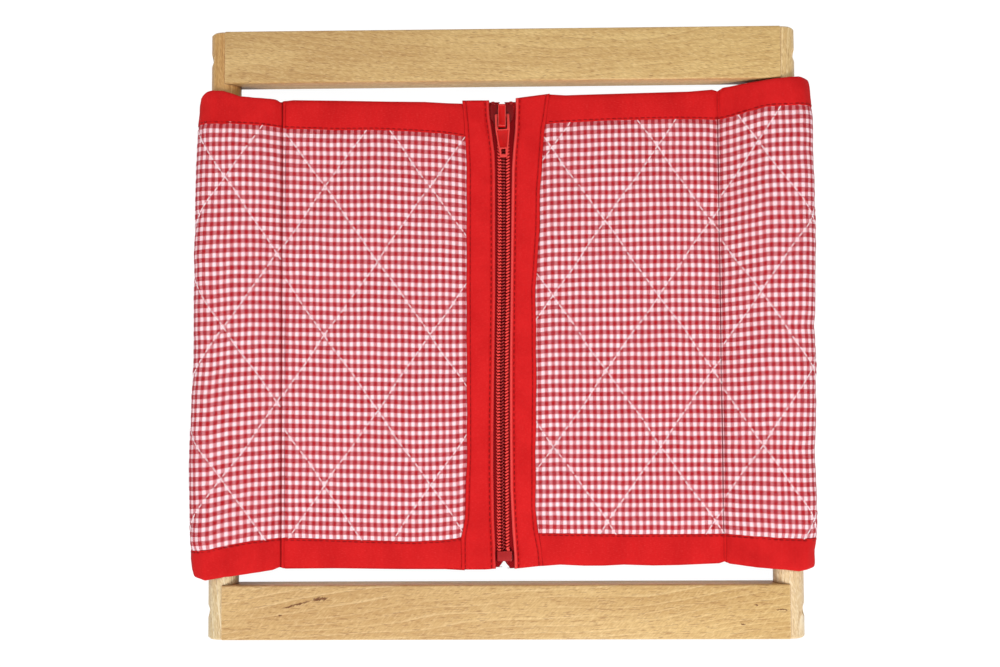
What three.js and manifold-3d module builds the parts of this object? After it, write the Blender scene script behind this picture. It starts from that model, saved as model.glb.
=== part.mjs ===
// Zipper dressing frame: a wooden frame with two quilted gingham flaps, joined by a zip.
// Millimetres, +Z up. The frame lies on its back: X runs to the right, Y to the top rail.
// The origin is under the middle of the frame, on the surface that it lies on.
import * as THREE from 'three';
import { mergeVertices } from 'three/addons/utils/BufferGeometryUtils.js';
import Module from 'manifold-3d';

const wasm = await Module();
wasm.setup();

// Wooden frame
const frameWidth = 300;
const frameHeight = 308;
const dowelDiameter = 15;
const dowelEndChamfer = 0.8;
const dowelSides = 48;
const railHeight = 27;
const railThickness = 13;
const railEdgeRadius = 1;
const railEdgeSteps = 3;
const railProud = 1;
const lapBeyondAxis = 1;
const woodGap = 0.1;

// Screws, each sunk in a recess in a dowel's outer side
const screwHeadDiameter = 6.2;
const screwHeadHeight = 1.7;
const screwShankDiameter = 3.2;
const screwLength = 28;
const screwTipLength = 4;
const screwRecessDepth = 2.8;
const screwClearance = 0.3;
const pilotClearance = 0.15;
const screwSides = 24;
const driveSlotWidth = 0.9;
const driveSlotDepth = 0.9;
const driveSlotLength = 3.6;

// Cloth tunnels round the dowels
const plyThickness = 1.9;
const dowelClearance = 0.3;
const seamInset = 30.5;
const sleeveSlack = 6.1;
const sleeveEndClearance = 4.9;
const sleeveFlatWidth = 11;
const sleeveBulge = 0.8;
const seamHalfThickness = 0.9;
const seamGap = 0.35;
const stitchedMargin = 7;
const sleeveCurveSteps = 8;
const bindingWidth = 12.5;
const clothGap = 0.3;

// Flaps
const flapEndClearance = 7.9;
const bindingThickness = 3;
const bindingFold = 0.8;
const panelThickness = 1.2;
const panelTongue = 0.8;
const pillowHeight = 1.5;
const pillowEdge = 5;
const quiltHalfWidth = 27;
const quiltHalfHeight = 38.2;
const leftQuiltX = -37.3;
const leftQuiltY = -1.8;
const rightQuiltX = 52.3;
const rightQuiltY = -20.5;
const panelCellsX = 20;
const panelCellsY = 36;
const pillowRoundness = 0.6;
const liningThickness = 0.6;
const liningInnerX = 8.5;

// Red facings beside the zip
const facingInnerX = 6.2;
const facingOuterX = 17.5;
const facingLapThickness = 0.8;
const facingLap = 3.3;
const facingFrontZ = 1.75;

// Zip tapes and teeth
const tapeThickness = 0.6;
const tapeInnerX = 1.6;
const tapeWidth = 12.3;
const tapeTopInset = 1;
const tapeGap = 0.1;
const toothPitch = 1.6;
const toothThickness = 0.55;
const toothSlant = 0.25;
const toothTipX = -0.6;
const toothRootX = 1.9;
const rowOuterX = 3.1;
const rowHeight = 2;
const rowSpread = 2.1;
const rowBendSteps = 8;
const rowBendLead = 0.3;
const rowBendTrail = 1.6;
const rowTopInset = 2.5;

// Slider
const sliderTopInset = 2;
const sliderLength = 16;
const sliderTailHalf = 3.7;
const sliderHeadHalf = 5.9;
const sliderShoulderLength = 5;
const sliderTailLength = 4.5;
const sliderCornerRadius = 1.5;
const sliderPlateThickness = 1.1;
const sliderFlangeDepth = 0.7;
const sliderWall = 0.4;
const chainClearance = 0.2;
const wedgeHalfWidth = 1.2;
const wedgeLength = 7.4;
const wedgeHeadInset = 0.5;
const crownWidth = 3.7;
const crownTopInset = 0.4;
const crownLength = 12;
const crownHeight = 3.4;
const crownThickness = 1.1;
const crownLegLength = 2.2;
const crownRadius = 1.1;
const curveSteps = 5;

// Pull tab
const pullPivotInset = 6;
const pullBarWidth = 1.3;
const pullThickness = 1.3;
const pullClearance = 0.35;
const pullLength = 21.6;
const pullWidth = 7.4;
const pullTipWidth = 4;
const pullWindowLength = 6.4;
const pullRimWidth = 0.7;
const pullPocketDepth = 0.3;
const pullHoleWidth = 2.2;
const pullHoleLength = 2.8;
const pullHoleInset = 1.5;
const pullCornerRadius = 0.9;

// Stops, box and pin
const topStopWidth = 1.8;
const topStopLength = 1.7;
const topStopHeight = 1.8;
const topStopRadius = 0.4;
const boxWidth = 7.5;
const boxLength = 4.9;
const boxEndInset = 2.9;
const boxBelow = 1.3;
const boxAbove = 2.7;
const boxRadius = 0.5;
const pinWidth = 1.4;
const pinHeight = 1.6;
const pinLength = 5.1;
const pinInnerX = 1.2;
const pinAboveBox = 1.2;
const pinTaper = 0.35;
const pinClearance = 0.2;

const cutOverrun = 1;

// Places worked out from the sizes above
const dowelRadius = dowelDiameter / 2;
const dowelX = frameWidth / 2 - dowelRadius;
const clothZ = plyThickness + dowelClearance + dowelRadius;
const lapX = dowelX - lapBeyondAxis;
const railLength = 2 * (lapX - woodGap);
const railFrontZ = clothZ + dowelRadius + railProud;
const railZ = railFrontZ - railThickness / 2;
const railY = frameHeight / 2 - railHeight / 2;
const shoulderY = frameHeight / 2 - railHeight - woodGap;
const seamX = dowelX - seamInset;
const foldX = frameWidth / 2 + plyThickness + sleeveSlack;
const sleeveEndY = shoulderY - sleeveEndClearance;
const flapEndY = shoulderY - flapEndClearance;
const bindingInnerY = flapEndY - bindingWidth;
const panelEndY = bindingInnerY - clothGap;
const panelOuterX = seamX - seamGap;
const panelInnerX = facingOuterX - facingLap + clothGap;
const rowBottomZ = tapeThickness / 2 + tapeGap;
const rowTopZ = rowBottomZ + rowHeight;
const tapeTopY = flapEndY - tapeTopInset;
const rowTopY = tapeTopY - rowTopInset;
const sliderHeadY = tapeTopY - sliderTopInset;
const pullPivotY = sliderHeadY - pullPivotInset;
const tailY = sliderHeadY - sliderLength;
const plateBottomZ = rowTopZ + chainClearance;
const plateTopZ = plateBottomZ + sliderPlateThickness;
const lowerPlateTopZ = -tapeThickness / 2 - chainClearance;
const lowerPlateBottomZ = lowerPlateTopZ - sliderPlateThickness;
const pullZ = plateTopZ + pullClearance + pullThickness / 2;
const boxBottomY = -flapEndY + boxEndInset;
const boxTopY = boxBottomY + boxLength;

const wood = new THREE.MeshStandardMaterial({ color: 0xdab780, roughness: 0.62, metalness: 0 });
const gingham = new THREE.MeshStandardMaterial({ color: 0xd3868a, roughness: 0.9, metalness: 0 });
const redCotton = new THREE.MeshStandardMaterial({ color: 0xdd2425, roughness: 0.85, metalness: 0 });
const whiteCotton = new THREE.MeshStandardMaterial({ color: 0xf1ece4, roughness: 0.9, metalness: 0 });
const tapeRed = new THREE.MeshStandardMaterial({ color: 0x8a0c12, roughness: 0.85, metalness: 0 });
const coilRed = new THREE.MeshStandardMaterial({ color: 0xd02b28, roughness: 0.4, metalness: 0 });
const enamelRed = new THREE.MeshStandardMaterial({ color: 0xc9221f, roughness: 0.35, metalness: 0.3 });
const boxRed = new THREE.MeshStandardMaterial({ color: 0xb03a3c, roughness: 0.45, metalness: 0.3 });
const steel = new THREE.MeshStandardMaterial({ color: 0xb9bab8, roughness: 0.35, metalness: 1 });

const axisX = new THREE.Vector3(1, 0, 0);
const axisY = new THREE.Vector3(0, 1, 0);
const axisZ = new THREE.Vector3(0, 0, 1);

// A closed three.js geometry as a solid that can be cut and joined
function solid(geometry) {
  const bare = geometry.clone();
  bare.deleteAttribute('normal');
  bare.deleteAttribute('uv');
  const merged = mergeVertices(bare);
  return new wasm.Manifold(new wasm.Mesh({
    numProp: 3,
    vertProperties: new Float32Array(merged.attributes.position.array),
    triVerts: new Uint32Array(merged.index.array),
  }));
}

function geometryOf(body) {
  const result = body.getMesh();
  const geometry = new THREE.BufferGeometry();
  geometry.setAttribute('position', new THREE.BufferAttribute(result.vertProperties, 3));
  geometry.setIndex(new THREE.BufferAttribute(result.triVerts, 1));
  return geometry;
}

// The same geometry seen in a mirror at X = 0, with its faces still pointing out
function mirrored(geometry) {
  const source = geometry.index ? geometry.toNonIndexed() : geometry.clone();
  const position = source.attributes.position;
  const points = [];
  for (let corner = 0; corner < position.count; corner += 3) {
    for (const turned of [corner, corner + 2, corner + 1]) {
      points.push(-position.getX(turned), position.getY(turned), position.getZ(turned));
    }
  }
  const result = new THREE.BufferGeometry();
  result.setAttribute('position', new THREE.Float32BufferAttribute(points, 3));
  return result;
}

function block(lowX, highX, lowY, highY, lowZ, highZ) {
  const geometry = new THREE.BoxGeometry(highX - lowX, highY - lowY, highZ - lowZ);
  return geometry.translate((lowX + highX) / 2, (lowY + highY) / 2, (lowZ + highZ) / 2);
}

function extrudeZ(shape, lowZ, highZ) {
  const options = { depth: highZ - lowZ, bevelEnabled: false, curveSegments: curveSteps };
  return new THREE.ExtrudeGeometry(shape, options).translate(0, 0, lowZ);
}

// A shape drawn in Y and Z, extruded along X
function extrudeX(shape, lowX, highX, steps = curveSteps) {
  const options = { depth: highX - lowX, bevelEnabled: false, curveSegments: steps };
  const turn = new THREE.Matrix4().makeBasis(axisY, axisZ, axisX);
  return new THREE.ExtrudeGeometry(shape, options).applyMatrix4(turn).translate(lowX, 0, 0);
}

// A shape drawn in X and Z, extruded along Y
function extrudeY(shape, lowY, highY, steps = curveSteps) {
  const options = { depth: highY - lowY, bevelEnabled: false, curveSegments: steps };
  const turn = new THREE.Matrix4().makeBasis(axisX, axisZ, axisY.clone().negate());
  return new THREE.ExtrudeGeometry(shape, options).applyMatrix4(turn).translate(0, highY, 0);
}

function roundedRectangle(width, height, radius) {
  const shape = new THREE.Shape();
  const halfWidth = width / 2;
  const halfHeight = height / 2;
  shape.moveTo(-halfWidth + radius, -halfHeight);
  shape.lineTo(halfWidth - radius, -halfHeight);
  shape.absarc(halfWidth - radius, -halfHeight + radius, radius, -Math.PI / 2, 0);
  shape.lineTo(halfWidth, halfHeight - radius);
  shape.absarc(halfWidth - radius, halfHeight - radius, radius, 0, Math.PI / 2);
  shape.lineTo(-halfWidth + radius, halfHeight);
  shape.absarc(-halfWidth + radius, halfHeight - radius, radius, Math.PI / 2, Math.PI);
  shape.lineTo(-halfWidth, -halfHeight + radius);
  shape.absarc(-halfWidth + radius, -halfHeight + radius, radius, Math.PI, 1.5 * Math.PI);
  return shape;
}

// A round profile turned about the X axis, its points given as [x, radius] from low to high x
function turnedX(profile, sides) {
  const points = profile.map(([x, radius]) => new THREE.Vector2(radius, x));
  const geometry = new THREE.LatheGeometry(points, sides);
  const turn = new THREE.Matrix4().makeBasis(axisY.clone().negate(), axisX, axisZ);
  return geometry.applyMatrix4(turn);
}

function named(name, geometry, material, x = 0, y = 0, z = 0) {
  const mesh = new THREE.Mesh(geometry, material);
  mesh.name = name;
  mesh.position.set(x, y, z);
  return mesh;
}

// The right screw, its head's top at X = 0 and its tip on the minus X side
function screwGeometry() {
  const shankRadius = screwShankDiameter / 2;
  const body = solid(turnedX([
    [-screwLength, 0],
    [-screwLength + screwTipLength, shankRadius],
    [-screwHeadHeight, shankRadius],
    [0, screwHeadDiameter / 2],
    [0, 0],
  ], screwSides));
  const halfSlot = driveSlotLength / 2;
  const halfSlotWidth = driveSlotWidth / 2;
  const across = solid(block(-driveSlotDepth, cutOverrun, -halfSlot, halfSlot, -halfSlotWidth, halfSlotWidth));
  const upright = solid(block(-driveSlotDepth, cutOverrun, -halfSlotWidth, halfSlotWidth, -halfSlot, halfSlot));
  return geometryOf(body.subtract(across).subtract(upright));
}

// What a screw needs in the dowel: its recess, its countersink and its hole, measured from the crest
function screwHole() {
  const holeRadius = screwShankDiameter / 2 + screwClearance;
  const recessRadius = screwHeadDiameter / 2 + screwClearance;
  const headTop = -screwRecessDepth;
  return solid(turnedX([
    [-dowelDiameter, 0],
    [-dowelDiameter, holeRadius],
    [headTop - screwHeadHeight - screwClearance, holeRadius],
    [headTop - screwClearance, recessRadius],
    [cutOverrun, recessRadius],
    [cutOverrun, 0],
  ], screwSides));
}

// The right dowel, upright on its own axis, cut away for the rails on the minus X side
function postGeometry() {
  const half = frameHeight / 2;
  const profile = [
    [0, -half],
    [dowelRadius - dowelEndChamfer, -half],
    [dowelRadius, -half + dowelEndChamfer],
    [dowelRadius, half - dowelEndChamfer],
    [dowelRadius - dowelEndChamfer, half],
    [0, half],
  ].map(([radius, y]) => new THREE.Vector2(radius, y));
  let body = solid(new THREE.LatheGeometry(profile, dowelSides));
  for (const end of [-1, 1]) {
    const lowY = end > 0 ? shoulderY : -half - cutOverrun;
    const highY = end > 0 ? half + cutOverrun : -shoulderY;
    const reach = dowelRadius + cutOverrun;
    body = body.subtract(solid(block(-reach, -lapBeyondAxis, lowY, highY, -reach, reach)));
    const hole = screwHole().translate(dowelRadius, end * railY, railZ - clothZ);
    body = body.subtract(hole);
  }
  return geometryOf(body);
}

// A rail, its ends bored for the screws that come through the dowels
function railGeometry() {
  const bar = solid(extrudeX(
    roundedRectangle(railHeight, railThickness, railEdgeRadius), -railLength / 2, railLength / 2, railEdgeSteps));
  const headTop = frameWidth / 2 - screwRecessDepth;
  const boreRadius = screwShankDiameter / 2 + pilotClearance;
  const boreEnd = headTop - screwLength - pilotClearance;
  const bore = turnedX([
    [boreEnd, 0],
    [boreEnd, boreRadius],
    [railLength / 2 + cutOverrun, boreRadius],
    [railLength / 2 + cutOverrun, 0],
  ], screwSides);
  return geometryOf(bar.subtract(solid(bore)).subtract(solid(mirrored(bore))));
}

// The section of the right cloth tunnel in X and Z, about the seam plane
function tunnelShape() {
  const outerZ = clothZ;
  const startX = dowelX - sleeveFlatWidth / 2;
  const flatX = startX + sleeveFlatWidth;
  const middleX = (seamX + startX) / 2;
  const middleZ = (seamHalfThickness + outerZ) / 2 + sleeveBulge;
  const outline = new THREE.Shape();
  outline.moveTo(seamX + seamGap, seamHalfThickness);
  outline.lineTo(seamX + seamGap, -seamHalfThickness);
  outline.quadraticCurveTo(middleX, -middleZ, startX, -outerZ);
  outline.lineTo(flatX, -outerZ);
  outline.absellipse(flatX, 0, foldX - flatX, outerZ, -Math.PI / 2, Math.PI / 2);
  outline.lineTo(startX, outerZ);
  outline.quadraticCurveTo(middleX, middleZ, seamX + seamGap, seamHalfThickness);

  const innerZ = outerZ - plyThickness;
  const innerStartX = seamX + stitchedMargin;
  const innerMiddleX = (innerStartX + startX) / 2;
  const hole = new THREE.Path();
  hole.moveTo(innerStartX, 0);
  hole.quadraticCurveTo(innerMiddleX, innerZ / 2, startX, innerZ);
  hole.lineTo(flatX, innerZ);
  hole.absellipse(flatX, 0, foldX - flatX - plyThickness, innerZ, Math.PI / 2, -Math.PI / 2, true);
  hole.lineTo(startX, -innerZ);
  hole.quadraticCurveTo(innerMiddleX, -innerZ / 2, innerStartX, 0);
  outline.holes.push(hole);
  return outline;
}

function sleeveGeometry() {
  const end = sleeveEndY - bindingWidth - clothGap;
  return extrudeY(tunnelShape(), -end, end, sleeveCurveSteps);
}

function sleeveBindingGeometry(end) {
  const low = sleeveEndY - bindingWidth;
  return end > 0
    ? extrudeY(tunnelShape(), low, sleeveEndY, sleeveCurveSteps)
    : extrudeY(tunnelShape(), -sleeveEndY, -low, sleeveCurveSteps);
}

// How far the wadding swells in front of the panel at a place, between the quilting lines
function pillow(x, y, quiltX, quiltY) {
  const across = (x - quiltX) / quiltHalfWidth;
  const along = (y - quiltY) / quiltHalfHeight;
  const falling = Math.abs(Math.sin((across + along) * Math.PI / 2));
  const rising = Math.abs(Math.sin((across - along) * Math.PI / 2));
  const toSeam = panelOuterX - Math.abs(x);
  const toFacing = Math.abs(x) - facingOuterX - clothGap;
  const toBinding = panelEndY - Math.abs(y);
  const toEdge = Math.max(0, Math.min(toSeam, toFacing, toBinding));
  const fade = Math.min(1, toEdge / pillowEdge);
  return pillowHeight * Math.pow(falling * rising, pillowRoundness) * Math.sqrt(fade);
}

// A quilted panel: a front of diamond pillows over a flat back, with a thin tongue round it
function panelGeometry(side, quiltX, quiltY) {
  const lowX = side > 0 ? panelInnerX : -panelOuterX;
  const highX = side > 0 ? panelOuterX : -panelInnerX;
  const half = panelThickness / 2;
  const pillowStart = facingOuterX + clothGap;
  const columns = [panelInnerX];
  for (let i = 0; i < panelCellsX; i += 1) {
    columns.push(pillowStart + (panelOuterX - pillowStart) * i / (panelCellsX - 1));
  }
  const columnX = (i) => (side > 0 ? columns[i] : -columns[panelCellsX - i]);
  const points = [];
  const triangles = [];
  const rowLength = panelCellsX + 1;
  for (let j = 0; j <= panelCellsY; j += 1) {
    for (let i = 0; i <= panelCellsX; i += 1) {
      const x = columnX(i);
      const y = -panelEndY + 2 * panelEndY * j / panelCellsY;
      points.push(x, y, half + pillow(x, y, quiltX, quiltY));
    }
  }
  for (let j = 0; j < panelCellsY; j += 1) {
    for (let i = 0; i < panelCellsX; i += 1) {
      const corner = j * rowLength + i;
      triangles.push(corner, corner + 1, corner + rowLength + 1);
      triangles.push(corner, corner + rowLength + 1, corner + rowLength);
    }
  }
  const rim = [];
  for (let i = 0; i < panelCellsX; i += 1) rim.push(i);
  for (let j = 0; j < panelCellsY; j += 1) rim.push(j * rowLength + panelCellsX);
  for (let i = panelCellsX; i > 0; i -= 1) rim.push(panelCellsY * rowLength + i);
  for (let j = panelCellsY; j > 0; j -= 1) rim.push(j * rowLength);
  const firstBack = points.length / 3;
  for (const corner of rim) points.push(points[3 * corner], points[3 * corner + 1], -half);
  const middle = points.length / 3;
  points.push((lowX + highX) / 2, 0, -half);
  rim.forEach((corner, place) => {
    const next = (place + 1) % rim.length;
    triangles.push(corner, firstBack + place, firstBack + next);
    triangles.push(corner, firstBack + next, rim[next]);
    triangles.push(middle, firstBack + next, firstBack + place);
  });
  const geometry = new THREE.BufferGeometry();
  geometry.setAttribute('position', new THREE.Float32BufferAttribute(points, 3));
  geometry.setIndex(triangles);
  const tongueEnd = flapEndY - bindingFold - clothGap;
  const halfTongue = panelTongue / 2;
  const tongue = block(lowX, highX, -tongueEnd, tongueEnd, -halfTongue, halfTongue);
  return geometryOf(solid(geometry).add(solid(tongue)));
}

function liningGeometry() {
  const back = -bindingThickness / 2;
  return block(liningInnerX, panelOuterX, -panelEndY, panelEndY, back, back + liningThickness);
}

// The folded binding on the right flap's end, in Y and Z: a U that holds the panel's tongue
function bindingGeometry(end) {
  const half = bindingThickness / 2;
  const groove = half - bindingFold;
  const outline = new THREE.Shape();
  outline.moveTo(bindingInnerY, -half);
  outline.lineTo(flapEndY, -half);
  outline.lineTo(flapEndY, half);
  outline.lineTo(bindingInnerY, half);
  outline.lineTo(bindingInnerY, groove);
  outline.lineTo(flapEndY - bindingFold, groove);
  outline.lineTo(flapEndY - bindingFold, -groove);
  outline.lineTo(bindingInnerY, -groove);
  const geometry = extrudeX(outline, facingOuterX + clothGap, panelOuterX);
  return end > 0 ? geometry : geometry.rotateZ(Math.PI).translate(facingOuterX + clothGap + panelOuterX, 0, 0);
}

// The red strip beside the zip, in X and Z: it lies on the tape and laps the panel's edge
function facingGeometry() {
  const low = tapeThickness / 2 + tapeGap;
  const lapLow = facingFrontZ - facingLapThickness;
  const stepX = facingOuterX - facingLap;
  const outline = new THREE.Shape();
  outline.moveTo(facingInnerX, low);
  outline.lineTo(stepX, low);
  outline.lineTo(stepX, lapLow);
  outline.lineTo(facingOuterX, lapLow);
  outline.lineTo(facingOuterX, facingFrontZ);
  outline.lineTo(facingInnerX, facingFrontZ);
  return extrudeY(outline, -flapEndY, flapEndY);
}

function leftTapeGeometry() {
  const half = tapeThickness / 2;
  return block(-tapeInnerX - tapeWidth, -tapeInnerX, -flapEndY, tapeTopY, -half, half);
}

// The right tape's lower end is cut back beside the box
function rightTapeGeometry() {
  const half = tapeThickness / 2;
  const outerX = tapeInnerX + tapeWidth;
  const besideBox = boxWidth / 2 + clothGap;
  const outline = new THREE.Shape();
  outline.moveTo(besideBox, -flapEndY);
  outline.lineTo(outerX, -flapEndY);
  outline.lineTo(outerX, tapeTopY);
  outline.lineTo(tapeInnerX, tapeTopY);
  outline.lineTo(tapeInnerX, boxTopY + clothGap);
  outline.lineTo(besideBox, boxTopY + clothGap);
  return extrudeZ(outline, -half, half);
}

// How far a row of teeth stands aside at a height: nothing below the slider, all of it at its mouth
function rowAside(y) {
  const start = tailY + sliderTailLength - rowBendLead;
  const end = sliderHeadY - sliderShoulderLength + rowBendTrail;
  const share = Math.min(1, Math.max(0, (y - start) / (end - start)));
  return rowSpread * share * share * (3 - 2 * share);
}

// The right row of coil teeth: a straight cord with a slanted tooth at each pitch
function teethGeometry(lowestY, firstToothY) {
  const outline = new THREE.Shape();
  const bendStart = tailY;
  outline.moveTo(rowOuterX, lowestY);
  for (let step = 0; step <= rowBendSteps; step += 1) {
    const y = bendStart + (rowTopY - bendStart) * step / rowBendSteps;
    outline.lineTo(rowOuterX + rowAside(y), y);
  }
  const highestToothY = rowTopY - toothThickness / 2;
  const teeth = Math.floor((highestToothY - firstToothY) / toothPitch);
  const half = toothThickness / 2;
  outline.lineTo(toothRootX + rowAside(rowTopY), rowTopY);
  for (let tooth = teeth - 1; tooth >= 0; tooth -= 1) {
    const y = firstToothY + tooth * toothPitch;
    const aside = rowAside(y);
    outline.lineTo(toothRootX + aside, y + half);
    outline.lineTo(toothTipX + aside, y + half + toothSlant);
    outline.lineTo(toothTipX + aside, y - half + toothSlant);
    outline.lineTo(toothRootX + aside, y - half);
  }
  outline.lineTo(toothRootX, lowestY);
  return extrudeZ(outline, rowBottomZ, rowTopZ);
}

function topStopGeometry() {
  const geometry = extrudeZ(roundedRectangle(topStopWidth, topStopLength, topStopRadius), 0, topStopHeight);
  const x = (toothRootX + rowOuterX) / 2 + rowSpread;
  const y = sliderHeadY + chainClearance + topStopLength / 2;
  return geometry.translate(x, y, rowBottomZ);
}

// The box at the zip's lower end: a slit for the left tape and a socket for the pin
function retainerBoxGeometry() {
  const outline = roundedRectangle(boxWidth, boxBelow + boxAbove, boxRadius);
  const middleZ = (boxAbove - boxBelow) / 2;
  const body = solid(extrudeY(outline, boxBottomY, boxTopY).translate(0, 0, middleZ));
  const slitHalf = tapeThickness / 2 + tapeGap;
  const slit = block(
    -boxWidth, -tapeInnerX + tapeGap, boxBottomY - cutOverrun, boxTopY + cutOverrun, -slitHalf, slitHalf);
  const socketLowY = boxTopY - (pinLength - pinAboveBox) - pinClearance;
  const socket = block(
    pinInnerX - pinClearance, pinInnerX + pinWidth + pinClearance, socketLowY, boxTopY + cutOverrun,
    rowBottomZ - pinClearance / 2, rowBottomZ + pinHeight + pinClearance);
  return geometryOf(body.subtract(solid(slit)).subtract(solid(socket)));
}

function insertionPinGeometry() {
  const highY = boxTopY + pinAboveBox;
  const lowY = highY - pinLength;
  const highX = pinInnerX + pinWidth;
  const outline = new THREE.Shape();
  outline.moveTo(pinInnerX + pinTaper, lowY);
  outline.lineTo(highX - pinTaper, lowY);
  outline.lineTo(highX, lowY + 2 * pinTaper);
  outline.lineTo(highX, highY);
  outline.lineTo(pinInnerX, highY);
  outline.lineTo(pinInnerX, lowY + 2 * pinTaper);
  return extrudeZ(outline, rowBottomZ + tapeGap / 2, rowBottomZ + pinHeight);
}

// The outline of the slider's plates: a narrow tail that widens to round shoulders
function plateShape() {
  const shoulderTop = sliderHeadY - sliderCornerRadius;
  const shoulderLow = sliderHeadY - sliderShoulderLength;
  const tailTop = tailY + sliderTailLength;
  const bendY = (tailTop + shoulderLow) / 2;
  const shape = new THREE.Shape();
  shape.moveTo(-sliderTailHalf, tailY);
  shape.lineTo(sliderTailHalf, tailY);
  shape.lineTo(sliderTailHalf, tailTop);
  shape.bezierCurveTo(sliderTailHalf, bendY, sliderHeadHalf, bendY, sliderHeadHalf, shoulderLow);
  shape.lineTo(sliderHeadHalf, shoulderTop);
  shape.absarc(sliderHeadHalf - sliderCornerRadius, shoulderTop, sliderCornerRadius, 0, Math.PI / 2);
  shape.lineTo(-sliderHeadHalf + sliderCornerRadius, sliderHeadY);
  shape.absarc(-sliderHeadHalf + sliderCornerRadius, shoulderTop, sliderCornerRadius, Math.PI / 2, Math.PI);
  shape.lineTo(-sliderHeadHalf, shoulderLow);
  shape.bezierCurveTo(-sliderHeadHalf, bendY, -sliderTailHalf, bendY, -sliderTailHalf, tailTop);
  return shape;
}

// The way that the two rows take through the slider, open at its tail and at its mouth
function channelShape() {
  const tailHalf = sliderTailHalf - sliderWall;
  const headHalf = sliderHeadHalf - sliderWall;
  const shoulderLow = sliderHeadY - sliderShoulderLength;
  const tailTop = tailY + sliderTailLength;
  const bendY = (tailTop + shoulderLow) / 2;
  const shape = new THREE.Shape();
  shape.moveTo(-tailHalf, tailY - cutOverrun);
  shape.lineTo(tailHalf, tailY - cutOverrun);
  shape.lineTo(tailHalf, tailTop);
  shape.bezierCurveTo(tailHalf, bendY, headHalf, bendY, headHalf, shoulderLow);
  shape.lineTo(headHalf, sliderHeadY + cutOverrun);
  shape.lineTo(-headHalf, sliderHeadY + cutOverrun);
  shape.lineTo(-headHalf, shoulderLow);
  shape.bezierCurveTo(-headHalf, bendY, -tailHalf, bendY, -tailHalf, tailTop);
  return shape;
}

// The wedge that parts the rows, between the plates at the slider's mouth
function wedgeShape() {
  const highY = sliderHeadY - wedgeHeadInset;
  const shape = new THREE.Shape();
  shape.moveTo(0, highY - wedgeLength);
  shape.quadraticCurveTo(wedgeHalfWidth, highY - wedgeLength / 2, wedgeHalfWidth, highY - wedgeHalfWidth);
  shape.absarc(0, highY - wedgeHalfWidth, wedgeHalfWidth, 0, Math.PI);
  shape.quadraticCurveTo(-wedgeHalfWidth, highY - wedgeLength / 2, 0, highY - wedgeLength);
  return shape;
}

// The crown from the side, in Y and Z: an arch on the top plate with a window for the pull's bar
function crownShape() {
  const highY = sliderHeadY - crownTopInset;
  const lowY = highY - crownLength;
  const topZ = plateTopZ + crownHeight;
  const footZ = plateTopZ - sliderPlateThickness / 2;
  const shape = new THREE.Shape();
  shape.moveTo(lowY, footZ);
  shape.lineTo(highY, footZ);
  shape.lineTo(highY, topZ - crownRadius);
  shape.quadraticCurveTo(highY, topZ, highY - crownRadius, topZ);
  shape.lineTo(lowY + crownRadius, topZ);
  shape.quadraticCurveTo(lowY, topZ, lowY, topZ - crownRadius);
  const window = new THREE.Path();
  const windowLow = lowY + crownLegLength;
  const windowHigh = highY - crownLegLength;
  const windowTop = topZ - crownThickness;
  window.moveTo(windowLow, plateTopZ);
  window.lineTo(windowLow, windowTop - crownRadius / 2);
  window.quadraticCurveTo(windowLow, windowTop, windowLow + crownRadius / 2, windowTop);
  window.lineTo(windowHigh - crownRadius / 2, windowTop);
  window.quadraticCurveTo(windowHigh, windowTop, windowHigh, windowTop - crownRadius / 2);
  window.lineTo(windowHigh, plateTopZ);
  shape.holes.push(window);
  return shape;
}

function sliderGeometry() {
  const plates = plateShape();
  const flangeLowZ = plateBottomZ - sliderFlangeDepth;
  const upper = solid(extrudeZ(plates, flangeLowZ, plateTopZ));
  const channel = solid(extrudeZ(channelShape(), flangeLowZ - cutOverrun, plateBottomZ));
  const lower = solid(extrudeZ(plates, lowerPlateBottomZ, lowerPlateTopZ));
  const overlap = sliderPlateThickness / 2;
  const wedge = solid(extrudeZ(wedgeShape(), lowerPlateTopZ - overlap, plateBottomZ + overlap));
  const crown = solid(extrudeX(crownShape(), -crownWidth / 2, crownWidth / 2));
  return geometryOf(upper.subtract(channel).add(lower).add(wedge).add(crown));
}

// The pull tab about its bar: a window round the crown, then a tapered plate with a hole
function pullShape(inset) {
  const halfTop = pullWidth / 2 - inset;
  const halfTip = pullTipWidth / 2 - inset;
  const highY = pullBarWidth / 2 - inset;
  const windowEnd = -pullBarWidth / 2 - pullWindowLength;
  const tipY = -pullLength + inset;
  const radius = pullCornerRadius;
  const shape = new THREE.Shape();
  shape.moveTo(-halfTip + radius, tipY);
  shape.lineTo(halfTip - radius, tipY);
  shape.quadraticCurveTo(halfTip, tipY, halfTip, tipY + radius);
  shape.lineTo(halfTop, windowEnd);
  shape.lineTo(halfTop, highY - radius);
  shape.quadraticCurveTo(halfTop, highY, halfTop - radius, highY);
  shape.lineTo(-halfTop + radius, highY);
  shape.quadraticCurveTo(-halfTop, highY, -halfTop, highY - radius);
  shape.lineTo(-halfTop, windowEnd);
  shape.lineTo(-halfTip, tipY + radius);
  shape.quadraticCurveTo(-halfTip, tipY, -halfTip + radius, tipY);
  return shape;
}

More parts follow.
